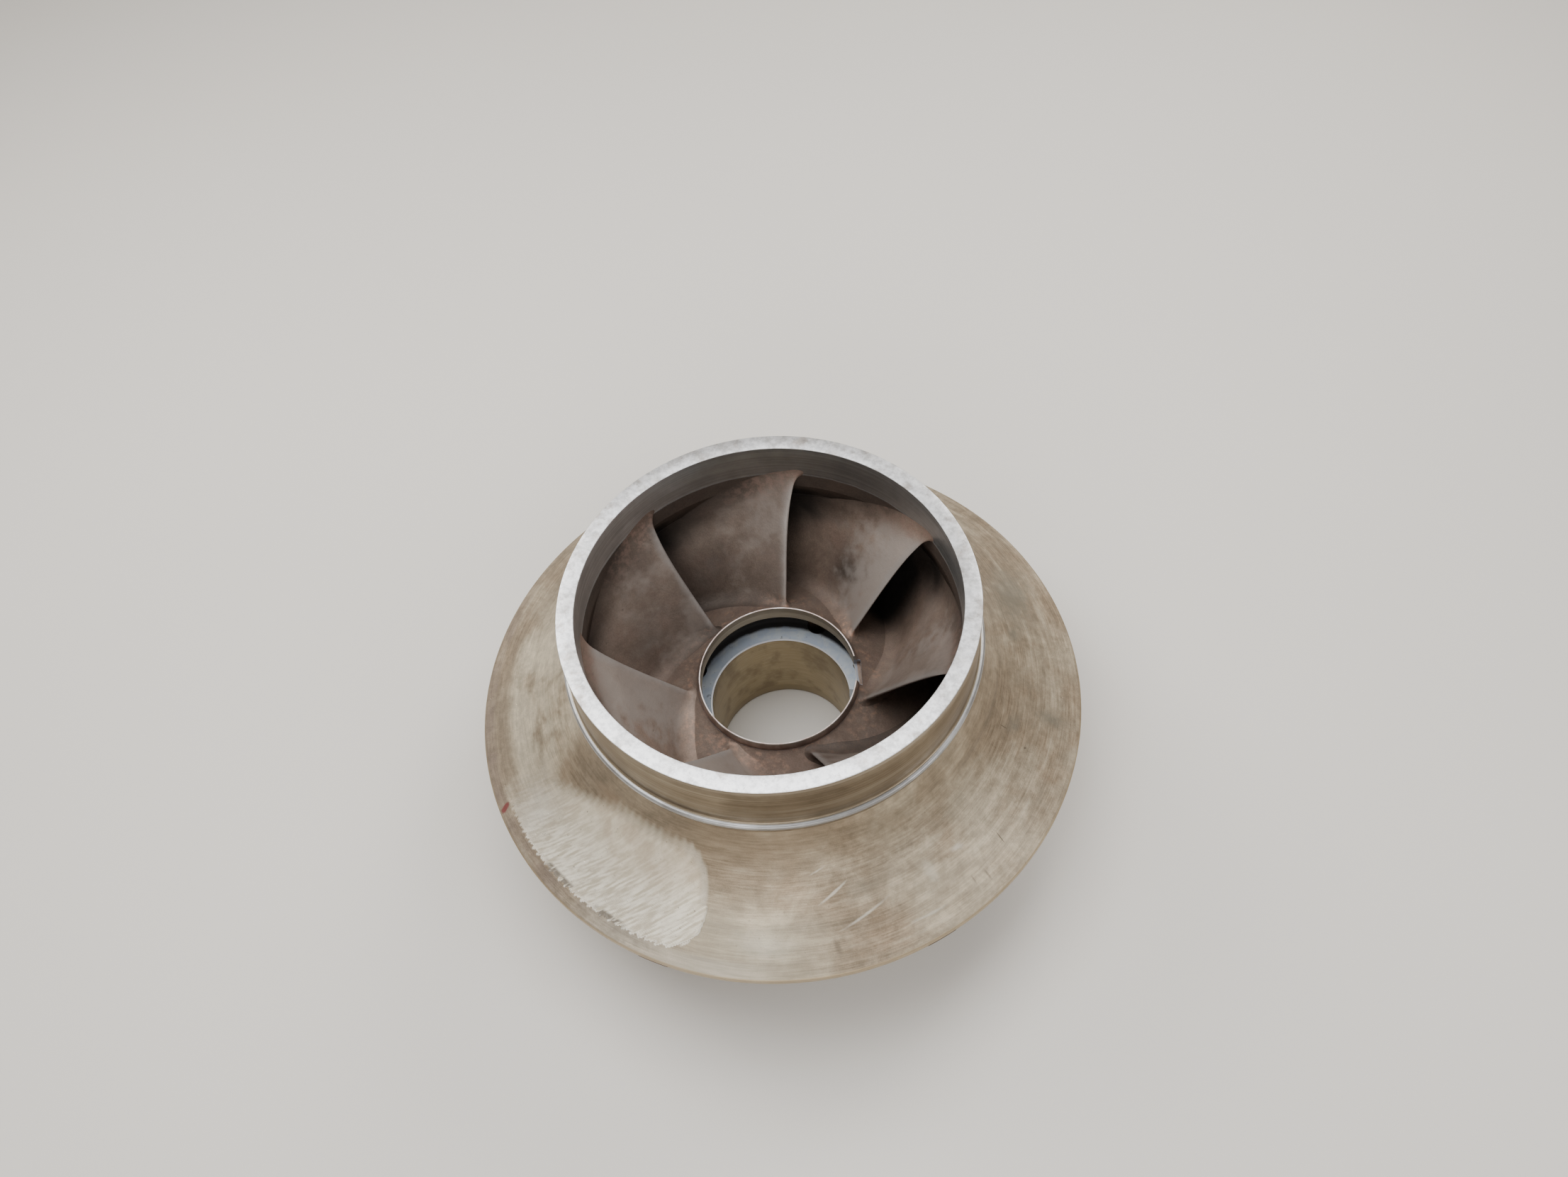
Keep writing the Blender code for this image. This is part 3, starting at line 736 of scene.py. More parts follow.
hub_line, hub_share, hub_length = line_points(
    [(0.0695, water_height(0.0695))] + [point for point in water_side if point[0] > 0.0697])
shroud_line, shroud_share, shroud_length = line_points(
    [(EYE_BORE, 0.1985), (EYE_BORE, 0.1900), (EYE_BORE, COLLAR_TOP), NECK_TURN] + list(shroud_inside))


def run_on(line, length=0.03):
    """A wall's outline, run on straight past its last point."""
    last = np.array(line[-1])
    way = last - np.array(line[-2])
    return np.vstack([line, last + way / np.hypot(*way) * length])


hub_wall = run_on(water_side)
shroud_wall = run_on([(EYE_BORE, 0.2283)] + list(shroud_line))


def camber(along, span):
    """Middle surface of the first vane."""
    low = np.stack([np.interp(along, hub_share, hub_line[:, k]) for k in (0, 1)], -1)
    high = np.stack([np.interp(along, shroud_share, shroud_line[:, k]) for k in (0, 1)], -1)
    place = low + (high - low) * span[..., None]
    early = VANE_EARLY[0] + (VANE_EARLY[1] - VANE_EARLY[0]) * span
    wrap = VANE_WRAP[0] + (VANE_WRAP[1] - VANE_WRAP[0]) * span
    lean = VANE_LEAN * np.maximum(span, 0.0) ** 4 * (1 - along) ** 2
    angle = np.radians(VANE_FIRST_ANGLE + lean + wrap * (along + early * along * (1 - along)))
    return np.stack([place[..., 0] * np.cos(angle), place[..., 0] * np.sin(angle), place[..., 1]], -1)


def off_wall(line, place):
    """Distance from a wall's outline and the direction away from it, in the plane through the shaft axis."""
    point = np.stack([np.hypot(place[..., 0], place[..., 1]), place[..., 2]], -1).reshape(-1, 1, 2)
    start, step = line[:-1], np.diff(line, axis=0)
    share = np.clip(((point - start) * step).sum(-1) / (step ** 2).sum(-1), 0.0, 1.0)
    gap = point - (start + share[..., None] * step)
    nearest = np.argmin((gap ** 2).sum(-1), axis=1)
    gap, along = gap[np.arange(len(nearest)), nearest], step[nearest]
    side = np.stack([-along[:, 1], along[:, 0]], -1) / np.hypot(along[:, 0], along[:, 1])[:, None]
    return (gap * side).sum(-1).reshape(place.shape[:-1]), side.reshape(*place.shape[:-1], 2)


def moved_level(place, side, distance):
    """Moves places in their planes through the shaft axis."""
    radius = np.hypot(place[..., 0], place[..., 1])
    place[..., 0] += place[..., 0] / radius * side[..., 0] * distance
    place[..., 1] += place[..., 1] / radius * side[..., 0] * distance
    place[..., 2] += side[..., 1] * distance


def eased(low, high, share):
    share = np.clip(share, 0.0, 1.0)
    return low + (high - low) * share * share * (3 - 2 * share)


def spans_off(wall, facing, stations, gaps, spans):
    """The spans at which the middle surface stands the given distances off a wall."""
    along, span = np.broadcast_arrays(stations, spans[:, None])
    found = facing * off_wall(wall, camber(along, span))[0]
    return np.stack([np.interp(gaps[:, i], found[:, i], spans) for i in range(len(stations))], -1)


def vane_body():
    nose_turn = np.linspace(0.0, math.pi / 2, 9)
    run = np.linspace(0.0, 1.0, 63)[1:] ** 1.15
    stations = np.concatenate([VANE_NOSE * (1 - np.cos(nose_turn)), VANE_NOSE + (VANE_END - VANE_NOSE) * run])
    lead = np.concatenate([nose_turn, np.full(len(run), math.pi / 2)])
    # half the thickness, less by the leading edge and less again towards the outlet
    half = VANE_THICKNESS / 2 * eased(0.62, 1.0, stations / 0.16)
    half = half * (1 - 0.35 * np.clip((stations - 0.6) / 0.4, 0.0, 1.0))
    # fillet rows, from inside the wall out to where the fillet ends on the vane's face
    turn = np.linspace(math.pi / 2, 0.0, 11)[:, None]
    fillets = []
    for near, deep in (HUB_FILLET, SHROUD_FILLET):
        radius = eased(near, deep, stations / 0.10)
        gap = radius * (1 - np.sin(turn)) - 0.0003 * (1 - np.cos(turn)) ** 3
        bulge = np.vstack([radius, radius * (1 - np.cos(turn))])
        fillets.append((radius, np.vstack([gap[:1] - 0.0008, gap]), bulge))
    (hub_radius, hub_gap, hub_bulge), (shroud_radius, shroud_gap, shroud_bulge) = fillets
    low = spans_off(hub_wall, 1.0, stations, hub_gap, np.linspace(-0.06, 0.5, 40))
    high = spans_off(shroud_wall, -1.0, stations, shroud_gap, np.linspace(1.06, 0.4, 40))
    share = np.linspace(0.0, 1.0, 17)[1:-1, None]
    span = np.vstack([low, low[-1] + (high[-1] - low[-1]) * share, high[::-1]])
    plain = np.zeros((len(share), len(stations)))
    bulge = np.vstack([hub_bulge, plain, shroud_bulge[::-1]])
    along = np.broadcast_to(stations, span.shape)
    here = camber(along, span)
    # directions along and across the vane, from places a small step apart
    small = 0.004
    chord = camber(np.minimum(along + small, 1.0), span) - camber(np.maximum(along - small, 0.0), span)
    chord /= np.linalg.norm(chord, axis=-1, keepdims=True)
    across = np.cross(chord, camber(along, span + small) - camber(along, span - small))
    across /= np.linalg.norm(across, axis=-1, keepdims=True)
    from_hub, from_shroud = off_wall(hub_wall, here)[0], -off_wall(shroud_wall, here)[0]
    outlet = np.array([[BACK_OUTER, BACK_OUTLET], [RIM_RADIUS, RIM_TOP - RIM_EDGE]])
    outlet_wall = np.vstack([2 * outlet[0] - outlet[1], outlet, 2 * outlet[1] - outlet[0]])
    # both faces, moved back to their distances off the walls and kept inside the outlet
    sides = []
    for sign in (1.0, -1.0):
        outwards = -np.cos(lead)[:, None] * chord + sign * np.sin(lead)[:, None] * across
        place = here + sign * across * (half * np.sin(lead))[:, None] + outwards * bulge[..., None]
        walls = ((hub_wall, 1.0, from_hub, hub_radius), (shroud_wall, -1.0, from_shroud, shroud_radius))
        for _ in range(3):
            for wall, facing, wanted, radius in walls:
                found, side = off_wall(wall, place)
                hold = 1 - eased(0.0, 1.0, (wanted - radius) / 0.012)
                moved_level(place, side, (facing * wanted - found) * hold)
            beyond, side = off_wall(outlet_wall, place)
            moved_level(place, side, np.maximum(0.0004 - beyond, 0.0) * (along > 0.5))
        sides.append(place)
    run_length = (hub_length + shroud_length) / 2
    from_edge = np.concatenate([nose_turn * 0.0024, 0.0038 + (stations[9:] - VANE_NOSE) * run_length])

    def joined(first, second):
        """One ring of columns round the vane from its two sides."""
        return np.concatenate([first, second[:, ::-1][:, :-1]], axis=1)

    ring = joined(*sides)
    rows, count = ring.shape[:2]
    index = np.arange(rows * count).reshape(rows, count)
    beside = np.roll(index, -1, axis=1)
    faces = np.stack([index[:-1], beside[:-1], beside[1:], index[1:]], -1).reshape(-1, 4).tolist()
    side_count = len(stations)
    for row, order in ((index[0], 1), (index[-1], -1)):
        for i in range(side_count - 2):
            quad = [row[i], row[i + 1], row[count - 1 - i], row[(count - i) % count]]
            faces.append([int(v) for v in dict.fromkeys(quad)][::order])
        faces.append([int(row[side_count - 2]), int(row[side_count - 1]), int(row[side_count])][::order])
    mesh = bpy.data.meshes.new("vanes")
    mesh.from_pydata(ring.reshape(-1, 3).tolist(), [], faces)
    buried = np.minimum(from_hub, from_shroud) < -0.0005
    for name, values in (("cast", np.where(buried, MACHINED, CAST)), ("from_hub", from_hub),
                         ("from_edge", np.broadcast_to(from_edge, span.shape)), ("from_shroud", from_shroud)):
        write_points(mesh, name, joined(values, values).reshape(-1))
    form = bmesh.new()
    form.from_mesh(mesh)
    bmesh.ops.recalc_face_normals(form, faces=form.faces)
    form.to_mesh(mesh)
    form.free()
    mesh.shade_smooth()
    mesh.set_sharp_from_angle(angle=math.radians(50.0))
    return mesh


def vane_finish():
    material, tree, place, about = new_finish("vane_skin", CAST_METALLIC)
    edge, hub_gap, shroud_gap = (attribute(tree, name) for name in ("from_edge", "from_hub", "from_shroud"))
    color, roughness, height = passage_skin(tree, place, about, ramp(edge, 0.006, 0.018))
    wander = noise(place, 0.01, 3.0)
    clear_of_walls = ramp(hub_gap, 0.002, 0.01) * ramp(shroud_gap, 0.002, 0.01)
    # painted light and shade: the vanes at the front left and at the back right are painted paler than the
    # others, which are painted darker at their roots by the hub
    lit_by_direction = maths("COSINE", (about["Angle"] - math.radians(42.0)) * 2.0)
    worn_and_lit = lit_by_direction * 0.5 + 0.5
    tone = lit_by_direction * 0.4 + 1.03
    root = ramp(hub_gap, 0.004, 0.014, either(worn_and_lit, 0.66, 1.0), 1.0)
    color = scaled(color, tone * root)
    # paler, cooler face behind the edge, in uneven patches, partly painted light that is strongest on the vanes
    # painted paler
    pale = ramp(wander * -0.045 + edge, -0.012, 0.01, 1.0, 0.0)
    pale = pale * ramp(noise(place, 0.03, 3.0, 0.6), 0.42, 0.62, worn_and_lit, 1.0) * clear_of_walls
    color = blend(pale * either(worn_and_lit, 0.22, 0.75), color, (0.31, 0.272, 0.244))
    # the edge itself, dressed by hand
    dressed = ramp(wander * -0.003 + edge, -0.0006, 0.003, 1.0, 0.0) * clear_of_walls
    color = blend(dressed * 0.45, color, (0.27, 0.258, 0.25))
    roughness = dressed * -0.1 + roughness
    # reddish skin where the edge runs up into the shroud
    tip = ramp(shroud_gap, 0.003, 0.014, 1.0, 0.0) * ramp(edge, 0.006, 0.03, 1.0, 0.0)
    flush = tip * ramp(noise(place, 0.005, 3.0, 0.6), 0.42, 0.66)
    color = blend(flush * 0.45, color, (0.24, 0.15, 0.122))
    # painted shade far down the passage
    deep = maths("MAXIMUM", ramp(edge, 0.04, 0.085, 1.0, 0.55), ramp(about["Radius"], 0.165, 0.195))
    finish_with(tree, scaled(color, deep), roughness, height, CAST_RELIEF)
    return material


vanes = shown("vanes", vane_body())
give_cast_surface(vanes, vane_finish(), copies=VANES, lump_height=0.0005)
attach(vanes, "root")
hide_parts(*[f"vane_{i}" for i in range(1, 8)])


# Front shroud. The dished plate over the vanes, brushed by hand, with one long patch at the front left that
# was ground with a coarse wheel. The wheel left slanting ridges, a serrated edge by the rim and a rounded end.
# Directions are in degrees from +X.
PATCH_START = 203.0
PATCH_END = 249.0
PATCH_END_REACH = 9.8
PATCH_MIDDLE = 0.1955
PATCH_HALF_WIDTH = 0.0322
PATCH_DEPTH = 0.00035
RIDGE_PITCH = 0.0028
RIDGE_HEIGHT = 0.00011
GROOVE_RADIUS = 0.1680
GROOVE_ANGLES = (322.0, 359.0)
BRUSHED = 0.4
SHROUD_METALLIC = 0.75
BRUSHED_RELIEF = 0.00035


def shroud_turns():
    """Directions round the shroud, closer together under the ground patch."""
    fine = np.radians(np.arange(196.0, 264.0, 0.22))
    coarse = np.radians(np.arange(264.0, 556.0, 1.3))
    return np.concatenate([fine, coarse])


def shroud_metal():
    rim = rounded((RIM_RADIUS - 0.0008, RIM_TOP + 0.0003), (RIM_RADIUS, RIM_TOP),
                  (RIM_RADIUS, RIM_TOP - 0.0009), 3)
    under = rounded((RIM_RADIUS, RIM_TOP - RIM_EDGE + 0.0009), (RIM_RADIUS, RIM_TOP - RIM_EDGE),
                    (RIM_RADIUS - 0.0008, RIM_TOP - RIM_EDGE + 0.0003), 3)
    rim_start = RIM_RADIUS - 0.0010
    outline = skinned([point for point in shroud_outside if point[0] < rim_start], BRUSHED) + rim + under
    outline += skinned([point for point in shroud_inside[::-1] if point[0] < rim_start], CAST)
    return turned("front_shroud", outline, shroud_turns(), 40.0)


def wheel_strokes(x, y):
    """Where a place lies across the wheel's strokes, in strokes, and how strong they are there."""
    from_left = x + 0.173
    across = (y - 0.158 * from_left - 1.03 * from_left ** 2) / RIDGE_PITCH
    slow, fast = from_left * 120.0 + 1.7 * np.sin(across * 0.8), from_left * 330.0 + across
    across = across + 0.12 * np.sin(slow) + 0.05 * np.sin(fast)
    coming, going = from_left * 190.0 + across * 2.1, from_left * 95.0 - across * 1.3
    return across, 0.50 + 0.35 * np.sin(coming) + 0.25 * np.sin(going)


def patch_mask(radius, angle, across):
    """1 inside the ground patch, 0 outside, ragged where the strokes end at its rim side."""
    degrees = np.degrees(angle)
    ragged = 0.030 + 0.050 * np.maximum(np.sin(2 * math.pi * across), 0.0) + 0.025 * np.sin(across * 3.7)
    inward = np.clip((231.0 - degrees) / 19.0, 0.0, 1.0) * 0.62
    side = (radius - PATCH_MIDDLE) / PATCH_HALF_WIDTH
    side = np.where(side > 0, side + ragged, -side + inward + 0.02 * np.sin(degrees * 2.9))
    end = np.clip((degrees - PATCH_END) / PATCH_END_REACH, 0.0, 2.0)
    reach = (np.maximum(side, 0.0) ** 2.6 + end ** 2.6) ** (1 / 2.6)
    sharp_side = np.where(radius > PATCH_MIDDLE, 0.030, 0.26)
    inside = np.clip((1.0 - reach) / sharp_side, 0.0, 1.0)
    return inside * np.clip((degrees - PATCH_START) / 20.0, 0.0, 1.0)


def shroud_relief(mesh):
    """Sinks the patch, raises its ridges and cuts the shallow groove beside the collar."""
    count = len(mesh.vertices)
    places, skins = np.empty(count * 3), np.empty(count)
    mesh.vertices.foreach_get("co", places)
    mesh.attributes["cast"].data.foreach_get("value", skins)
    places = places.reshape(-1, 3)
    radius, angle = np.hypot(places[:, 0], places[:, 1]), np.arctan2(places[:, 1], places[:, 0]) % (2 * math.pi)
    outside = (skins > 0.2) & (skins < 0.6)
    across, strength = wheel_strokes(places[:, 0], places[:, 1])
    dressed = patch_mask(radius, angle, across) * outside
    by_rim = np.clip((radius - 0.172) / 0.030, 0.25, 1.0)
    stroke = np.sin(2 * math.pi * across) * strength * by_rim * dressed
    turn = (np.degrees(angle) - GROOVE_ANGLES[0]) / (GROOVE_ANGLES[1] - GROOVE_ANGLES[0])
    groove_ends = np.clip(turn * 6, 0.0, 1.0) * np.clip((1 - turn) * 6, 0.0, 1.0) * outside
    from_groove = (radius - GROOVE_RADIUS - 0.0030 * (turn - 0.5)) / 0.0011
    groove = groove_ends * np.exp(-from_groove ** 2)
    places[:, 2] += RIDGE_HEIGHT * stroke - PATCH_DEPTH * dressed - 0.00030 * groove
    mesh.vertices.foreach_set("co", places.reshape(-1))
    for name, values in (("dressed", dressed), ("stroke", stroke), ("groove", groove), ("across", across)):
        write_points(mesh, name, values)


def shroud_finish():
    material, tree, place, about = new_finish("front_shroud_skin", SHROUD_METALLIC)
    radius = about["Radius"]
    degrees = maths("DEGREES", maths("WRAP", about["Angle"], 2 * math.pi, 0.0))
    clouds = noise(place, 0.045, 4.0, 0.6, 0.5)
    fine = lathe(about, "Radius", 0.0009, 8.0)
    broad = lathe(about, "Radius", 0.007, 5.0)
    skin = use(tree, cast_skin, {
        "Place": place, "Dark": (0.270, 0.210, 0.150), "Light": (0.480, 0.405, 0.310),
        "Tint": (0.320, 0.235, 0.160), "Tint Amount": 0.60, "Stain Size": 0.060, "Grain Size": 0.0009,
        "Pits": 0.35})

    def wedge(start, full, last, end):
        """1 between two directions round the shroud, fading at both ends."""
        return ramp(degrees, start, full) * ramp(degrees, last, end, 1.0, 0.0)

    behind_patch = wedge(206.0, 220.0, 244.0, 258.0) * ramp(radius, 0.17, 0.182, 1.0, 0.0)
    left = wedge(150.0, 180.0, 202.0, 214.0) * ramp(clouds, 0.32, 0.54) * ramp(radius, 0.208, 0.22, 1.0, 0.0)
    rim_tone = ramp(noise(place, 0.016, 3.0), 0.36, 0.66, 0.25, 0.8)
    front = wedge(250.0, 258.0, 272.0, 288.0) * ramp(clouds * 0.03 + radius, 0.196, 0.222)
    left_rim = wedge(168.0, 186.0, 200.0, 210.0) * ramp(clouds * 0.02 + radius, 0.218, 0.23)
    # streaks, brown by the collar, paler and greener out at the front and at the left, brown at the left rim;
    # the paler band and rim at the front are partly painted light
    color = skin["Color"]
    for share, tone in (
            (ramp(fine, 0.3, 0.72, 0.0, 0.24), (0.56, 0.49, 0.385)),
            (ramp(broad, 0.52, 0.78, 0.0, 0.4), (0.56, 0.505, 0.41)),
            (ramp(broad, 0.46, 0.24, 0.0, 0.35), (0.27, 0.225, 0.175)),
            (ramp(clouds * 0.02 + radius, 0.168, 0.196, 1.0, 0.0) * 0.62, (0.285, 0.226, 0.16)),
            (behind_patch * 0.55, (0.225, 0.188, 0.145)),
            (front * 0.5, (0.53, 0.485, 0.39)),
            (left * 0.78, (0.68, 0.615, 0.495)),
            (wedge(290.0, 302.0, 322.0, 338.0) * ramp(clouds, 0.4, 0.62, 0.3, 1.0) * 0.45, (0.56, 0.5, 0.395)),
            (left_rim * 0.75, (0.3, 0.245, 0.185)),
            (ramp(radius, 0.2255, 0.229) * wedge(140.0, 180.0, 226.0, 250.0) * rim_tone, (0.27, 0.215, 0.18)),
            (ramp(radius, 0.224, 0.228) * wedge(228.0, 244.0, 262.0, 276.0) * 0.6, (0.52, 0.475, 0.41))):
        color = blend(share, color, tone)
    # brush marks and small blotches all over
    blotches = ramp(noise(place, 0.0065, 5.0, 0.68, 0.3), 0.32, 0.68, 0.86, 1.11)
    blotches = either(wedge(246.0, 256.0, 276.0, 290.0), blotches, 1.0)
    streaks = ramp(fine, 0.3, 0.7, 0.9, 1.08) * ramp(broad, 0.3, 0.7, 0.88, 1.1)
    color = scaled(color, blotches * streaks)
    # the ground patch, with lighter ridges and darker valleys, partly painted light and shade, and a few pits
    patch, stroke = attribute(tree, "dressed"), attribute(tree, "stroke")
    parts = put(tree, "ShaderNodeSeparateXYZ", {0: place})
    ways = put(tree, "ShaderNodeCombineXYZ", {0: parts[0] / 0.011, 1: attribute(tree, "across"), 2: 0.5})[0]
    lines = noise(ways, 1.0, 3.0, 0.55)
    by_rim = ramp(radius, 0.176, 0.212)
    bright = lines * 1.3 + stroke * 0.25
    patch_color = blend(ramp(bright, 0.42, 0.88), (0.62, 0.56, 0.455), (0.98, 0.94, 0.84))
    soft_color = blend(ramp(clouds, 0.44, 0.64), (0.88, 0.81, 0.67), (0.64, 0.53, 0.41))
    patch_color = blend(by_rim, blend(0.4, soft_color, patch_color), patch_color)
    holes = ramp(noise(place, 0.0021, 2.0, 0.5), 0.68, 0.76, 0.0, 0.6)
    patch_color = blend(holes, patch_color, (0.16, 0.13, 0.1))
    color = blend(patch * 0.92, color, patch_color)
    # painted highlight: a near-white band along the patch's edge on the rim side and at its end
    edge = ramp(patch, 0.02, 0.3) * ramp(patch, 0.5, 0.85, 1.0, 0.0)
    rim_side = ramp(degrees, 206.0, 222.0) * ramp(radius, 0.19, 0.206)
    edge = edge * maths("MAXIMUM", rim_side, ramp(degrees, 248.0, 254.0, 0.0, 0.3))
    color = blend(edge * 0.6, color, (0.9, 0.88, 0.82))
    # pits that the wheel left at the rim side, in two runs
    runs = maths("MAXIMUM", wedge(222.0, 225.0, 230.0, 233.0), wedge(236.0, 238.5, 242.0, 245.0))
    bitten = ramp(noise(ways, 1.0, 1.0, 0.5), 0.42, 0.54) * runs
    at_edge = ramp(patch, 0.01, 0.1) * ramp(radius, 0.2215, 0.224)
    color = blend(at_edge * bitten * 0.85, color, (0.15, 0.125, 0.1))
    # smudges, scratches and the inspector's red mark
    rough_edge = noise(place, 0.006, 4.0, 0.65) * 1.1 - 0.55
    tones = {"bright": (0.80, 0.77, 0.70), "pale": (0.62, 0.60, 0.53), "grey": (0.215, 0.200, 0.165),
             "dark": (0.125, 0.100, 0.080), "brown": (0.300, 0.225, 0.160), "red": (0.240, 0.055, 0.060)}
    for at_angle, at_radius, slant, half_length, half_width, softness, ragged, strength, tone in (
            (285.4, 0.1884, -24.0, 0.0150, 0.0012, 0.7, 0.4, 0.55, "bright"),
            (290.4, 0.2056, -15.0, 0.0250, 0.0013, 0.9, 0.5, 0.50, "bright"),
            (302.2, 0.2209, 3.0, 0.0190, 0.0015, 0.9, 0.6, 0.50, "pale"),
            (282.7, 0.1751, -16.0, 0.0086, 0.0007, 0.8, 0.6, 0.40, "bright"),
            (306.0, 0.1985, 85.0, 0.0110, 0.0065, 1.0, 0.9, 0.40, "pale"),
            (313.8, 0.1975, 15.0, 0.0075, 0.0030, 1.0, 1.0, 0.45, "bright"),
            (270.0, 0.2150, 5.0, 0.0300, 0.0120, 1.0, 0.8, 0.35, "pale"),
            (322.2, 0.2125, 98.0, 0.0058, 0.0006, 0.6, 0.3, 0.80, "dark"),
            (315.4, 0.2225, 90.0, 0.0062, 0.0013, 0.9, 0.5, 0.55, "dark"),
            (312.6, 0.2195, 92.0, 0.0050, 0.0011, 0.9, 0.5, 0.45, "dark"),
            (284.0, 0.2200, 84.0, 0.0085, 0.0034, 0.9, 0.7, 0.50, "dark"),
            (292.0, 0.1900, 10.0, 0.0200, 0.0090, 1.0, 1.0, 0.35, "grey"),
            (9.7, 0.1863, 20.0, 0.0120, 0.0070, 1.0, 0.9, 0.60, "grey"),
            (345.0, 0.1860, 5.0, 0.0140, 0.0070, 1.0, 0.9, 0.60, "grey"),
            (351.0, 0.2120, 92.0, 0.0190, 0.0085, 1.0, 0.9, 0.65, "grey"),
            # a broad grey smudge at the right, deepened as painted shade
            (22.0, 0.2000, 20.0, 0.0520, 0.0260, 1.0, 0.9, 0.72, "grey"),
            (341.6, 0.1984, 30.0, 0.0016, 0.0009, 0.6, 0.2, 0.80, "dark"),
            (342.9, 0.1800, 80.0, 0.0034, 0.0007, 0.6, 0.3, 0.70, "dark"),
            (228.0, 0.1660, 0.0, 0.0230, 0.0060, 1.0, 0.8, 0.55, "brown"),
            (212.0, 0.1780, 40.0, 0.0180, 0.0070, 1.0, 0.8, 0.45, "brown"),
            (208.8, 0.2312, 62.0, 0.0056, 0.0028, 0.5, 0.6, 0.85, "red")):
        spot = use(tree, metal_mark, {
            "Radius": radius, "Angle": about["Angle"], "Ragged": rough_edge * ragged, "At Radius": at_radius,
            "At Angle": at_angle, "Slant": slant, "Half Length": half_length, "Half Width": half_width,
            "Edge": softness})["Mask"]
        color = blend(spot * strength, color, tones[tone])
    color = blend(attribute(tree, "groove") * 0.45, color, (0.2, 0.165, 0.13))
    # the whole outside is warmed a little
    color = put(tree, "ShaderNodeVectorMath", {0: color, 1: (1.01, 1.0, 0.96)}, operation="MULTIPLY")[0]
    # inside it is cast skin with painted shade under the neck, and its turned rim is painted golden brown, a
    # painted reflection
    cast = attribute(tree, "cast")
    in_color, in_rough, in_height = passage_skin(tree, place, about)
    neck_shade = maths("MAXIMUM", ramp(radius, 0.1412, 0.1445, 0.75, 0.35), ramp(radius, 0.16, 0.185))
    inside = ramp(cast, 0.6, 0.8)
    color = blend(inside, color, scaled(in_color, neck_shade))
    color = blend(ramp(cast, 0.3, 0.1) * 0.7, color, (0.42, 0.33, 0.21))
    roughness = patch * 0.04 + (fine * 0.1 + (skin["Rough"] + 0.44))
    finish_with(tree, color, either(inside, roughness, in_rough), either(inside, skin["Height"], in_height),
                BRUSHED_RELIEF, either(inside, SHROUD_METALLIC, CAST_METALLIC))
    return material


front_shroud = shroud_metal()
shroud_relief(front_shroud.data)
give_cast_surface(front_shroud, shroud_finish(), lump_height=0.0005, lump_size=0.03)
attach(front_shroud, "root")
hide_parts("front_shroud_neck", "front_shroud_plate")

# Collar. The band under the eye ring, turned with a rounded lip that stands out and catches the light.
COLLAR_RADIUS = 0.1575
collar_outline = rounded((COLLAR_RADIUS - 0.0030, COLLAR_TOP - 0.0002),
                         (COLLAR_RADIUS - 0.0002, COLLAR_TOP - 0.0002), (COLLAR_RADIUS, COLLAR_TOP - 0.0022), 6)
collar_outline += rounded((COLLAR_RADIUS, COLLAR_TOP - 0.0030), (COLLAR_RADIUS - 0.0002, COLLAR_TOP - 0.0052),
                          (COLLAR_RADIUS - 0.0014, COLLAR_TOP - 0.0056), 5)
collar_outline += skinned([(NECK_OUTER, SHROUD_TOP)])
collar_outline += skinned([(NECK_INNER, SHROUD_TOP), NECK_TURN, (EYE_BORE, COLLAR_TOP)], CAST)
collar = turned("collar", collar_outline, even_turns(360), 40.0)


def collar_finish():
    material, tree, place, about = new_finish("collar_metal", 0.85)
    lines = lathe(about, "Height", 0.0005, 1.5)
    clouds = noise(place, 0.025, 4.0, 0.6)
    lip = ramp(about["Height"], COLLAR_TOP - 0.0062, COLLAR_TOP - 0.0048)
    color = blend(ramp(clouds, 0.35, 0.68), (0.33, 0.27, 0.2), (0.43, 0.37, 0.29))
    lip_color = blend(ramp(clouds, 0.4, 0.62), (0.34, 0.335, 0.33), (0.5, 0.505, 0.51))
    color = blend(lip, color, lip_color)
    inside = ramp(attribute(tree, "cast"), 0.4, 0.6)
    in_color, in_rough, in_height = passage_skin(tree, place, about)
    # painted shade inside, darker lower down under the neck
    neck_shade = ramp(about["Height"], SHROUD_TOP, COLLAR_TOP, 0.6, 1.0)
    color = blend(inside, color, scaled(in_color, neck_shade))
    roughness = either(inside, lines * 0.12 + 0.3, in_rough)
    finish_with(tree, color, roughness, either(inside, lines * 0.2, in_height), LATHE_RELIEF)
    return material


give_cast_surface(collar, collar_finish())
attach(collar, "root")
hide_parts("shroud_collar")

# Eye ring. The wear surface round the inlet, turned bright on its top, smooth and darker outside,
# and bored down to where the casting's own skin begins again.
RING_OUTER = 0.1532
RING_TOP = 0.2283
BORED_DOWN_TO = 0.1992
RING_METALLIC = 0.9
ring_outline = rounded((RING_OUTER - 0.0008, RING_TOP), (RING_OUTER, RING_TOP),
                       (RING_OUTER, RING_TOP - 0.0008), 3)
ring_outline += skinned([(RING_OUTER, 0.215), (RING_OUTER, 0.200)])
ring_outline += rounded((RING_OUTER, COLLAR_TOP + 0.0025), (RING_OUTER, COLLAR_TOP),
                        (RING_OUTER + 0.0015, COLLAR_TOP), 4)
ring_outline += skinned([(EYE_BORE, z) for z in (COLLAR_TOP, 0.188, BORED_DOWN_TO - 0.0040)], CAST)
ring_outline += skinned([(EYE_BORE, BORED_DOWN_TO), (EYE_BORE, 0.212)])
ring_outline += rounded((EYE_BORE, RING_TOP - 0.0009), (EYE_BORE, RING_TOP), (EYE_BORE + 0.0009, RING_TOP), 3)
eye_ring = turned("eye_ring_metal", ring_outline, even_turns(360))


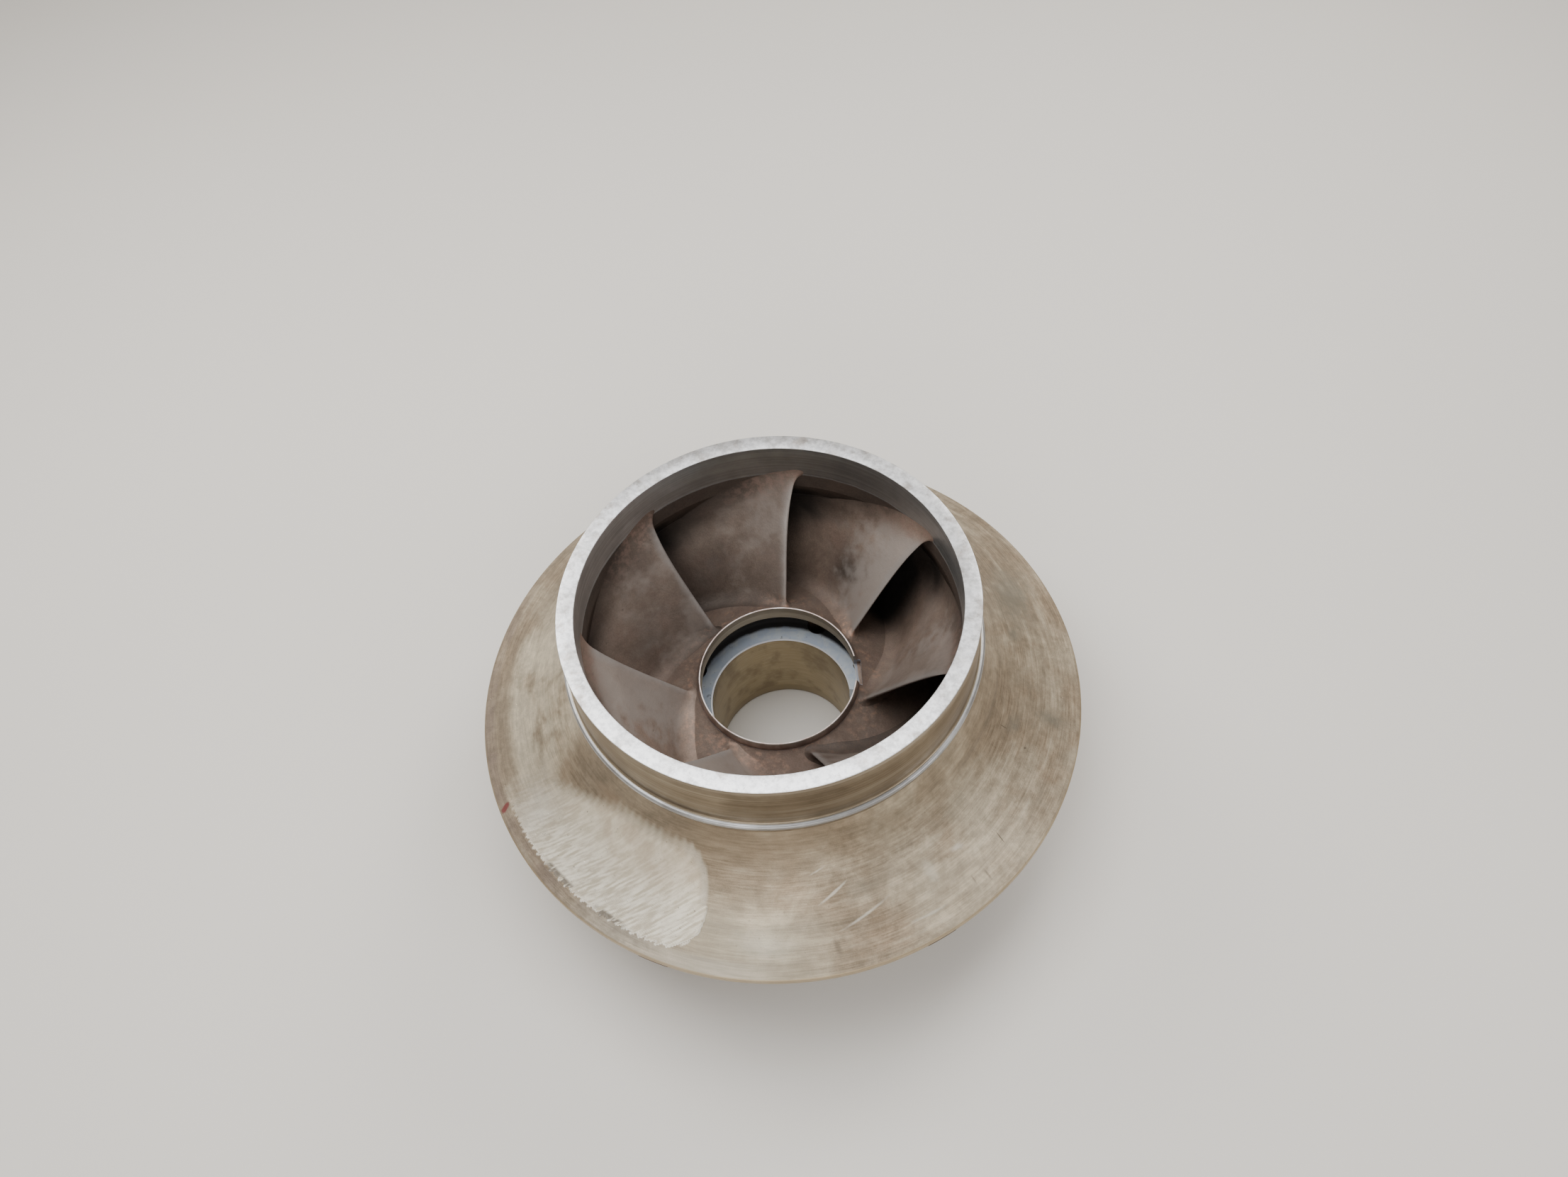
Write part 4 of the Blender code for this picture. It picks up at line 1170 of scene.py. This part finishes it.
def eye_ring_finish():
    material, tree, place, about = new_finish("eye_ring_steel", RING_METALLIC)
    on_top = ramp(about["Height"], RING_TOP - 0.0007, RING_TOP - 0.0004)
    outside = ramp(about["Radius"], RING_OUTER - 0.004, RING_OUTER - 0.003)
    lines_up = lathe(about, "Height", 0.0012, 1.3)
    lines_out = lathe(about, "Radius", 0.0005, 2.4)
    clouds = noise(place, 0.022, 5.0, 0.65)
    top_color = blend(ramp(clouds, 0.42, 0.66), (0.9, 0.9, 0.91), (0.66, 0.645, 0.635))
    stains = ramp(noise(place, 0.011, 4.0, 0.65, 0.3), 0.54, 0.72, 0.0, 0.75)
    top_color = blend(stains, top_color, (0.5, 0.45, 0.41))
    wall_tone = lines_up * 0.6 + clouds * 0.4
    # painted reflection: the outside is painted brown with paler bands, as if it mirrored a wooden floor
    reflected_bands = lathe(about, "Height", 0.005, 0.8)
    out_color = blend(ramp(wall_tone, 0.36, 0.64), (0.21, 0.166, 0.113), (0.34, 0.283, 0.208))
    out_color = blend(ramp(reflected_bands, 0.5, 0.7, 0.0, 0.5), out_color, (0.48, 0.425, 0.34))
    in_color = blend(ramp(wall_tone, 0.36, 0.64), (0.275, 0.272, 0.268), (0.38, 0.378, 0.375))
    # painted light and shade: inside and outside are paler at the left and right, and the outside is darker in
    # front and behind
    sideways = maths("COSINE", about["Angle"] * 2.0)
    in_tone = ramp(sideways, -0.9, 0.5, 1.0, 1.75)
    out_tone = ramp(sideways, -0.9, 0.3, 0.88, 1.16)
    wall = blend(outside, in_color, out_color)
    wall = scaled(wall, either(outside, in_tone, out_tone))
    specks_and_light = ramp(noise(place, 0.0042, 4.0, 0.72), 0.32, 0.64, 0.72, 1.08)
    # painted light and shade: the top is paler in front and duller at the right
    specks_and_light = specks_and_light * ramp(towards(about, -115.0), -0.75, 0.9, 0.8, 1.1)
    specks_and_light = specks_and_light * ramp(towards(about, 15.0), 0.5, 1.0, 1.0, 0.82)
    top_color = scaled(top_color, specks_and_light)
    color = blend(on_top, wall, top_color)
    lines = either(on_top, lines_up, lines_out)
    roughness = lines * 0.12 + either(on_top, 0.26, 0.34)
    cast_color, cast_rough, cast_height = passage_skin(tree, place, about)
    wander = noise(place, 0.012, 4.0, 0.6)
    skin = ramp(wander * 0.5 + (attribute(tree, "cast") - 0.25), 0.2, 0.8)
    color = blend(skin, color, cast_color)
    roughness = either(skin, roughness, cast_rough)
    finish_with(tree, color, roughness, either(skin, lines * 0.22, cast_height), LATHE_RELIEF,
                either(skin, RING_METALLIC, CAST_METALLIC))
    return material


give_cast_surface(eye_ring, eye_ring_finish(), lump_height=0.0005)
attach(eye_ring, "root")
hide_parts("eye_ring")
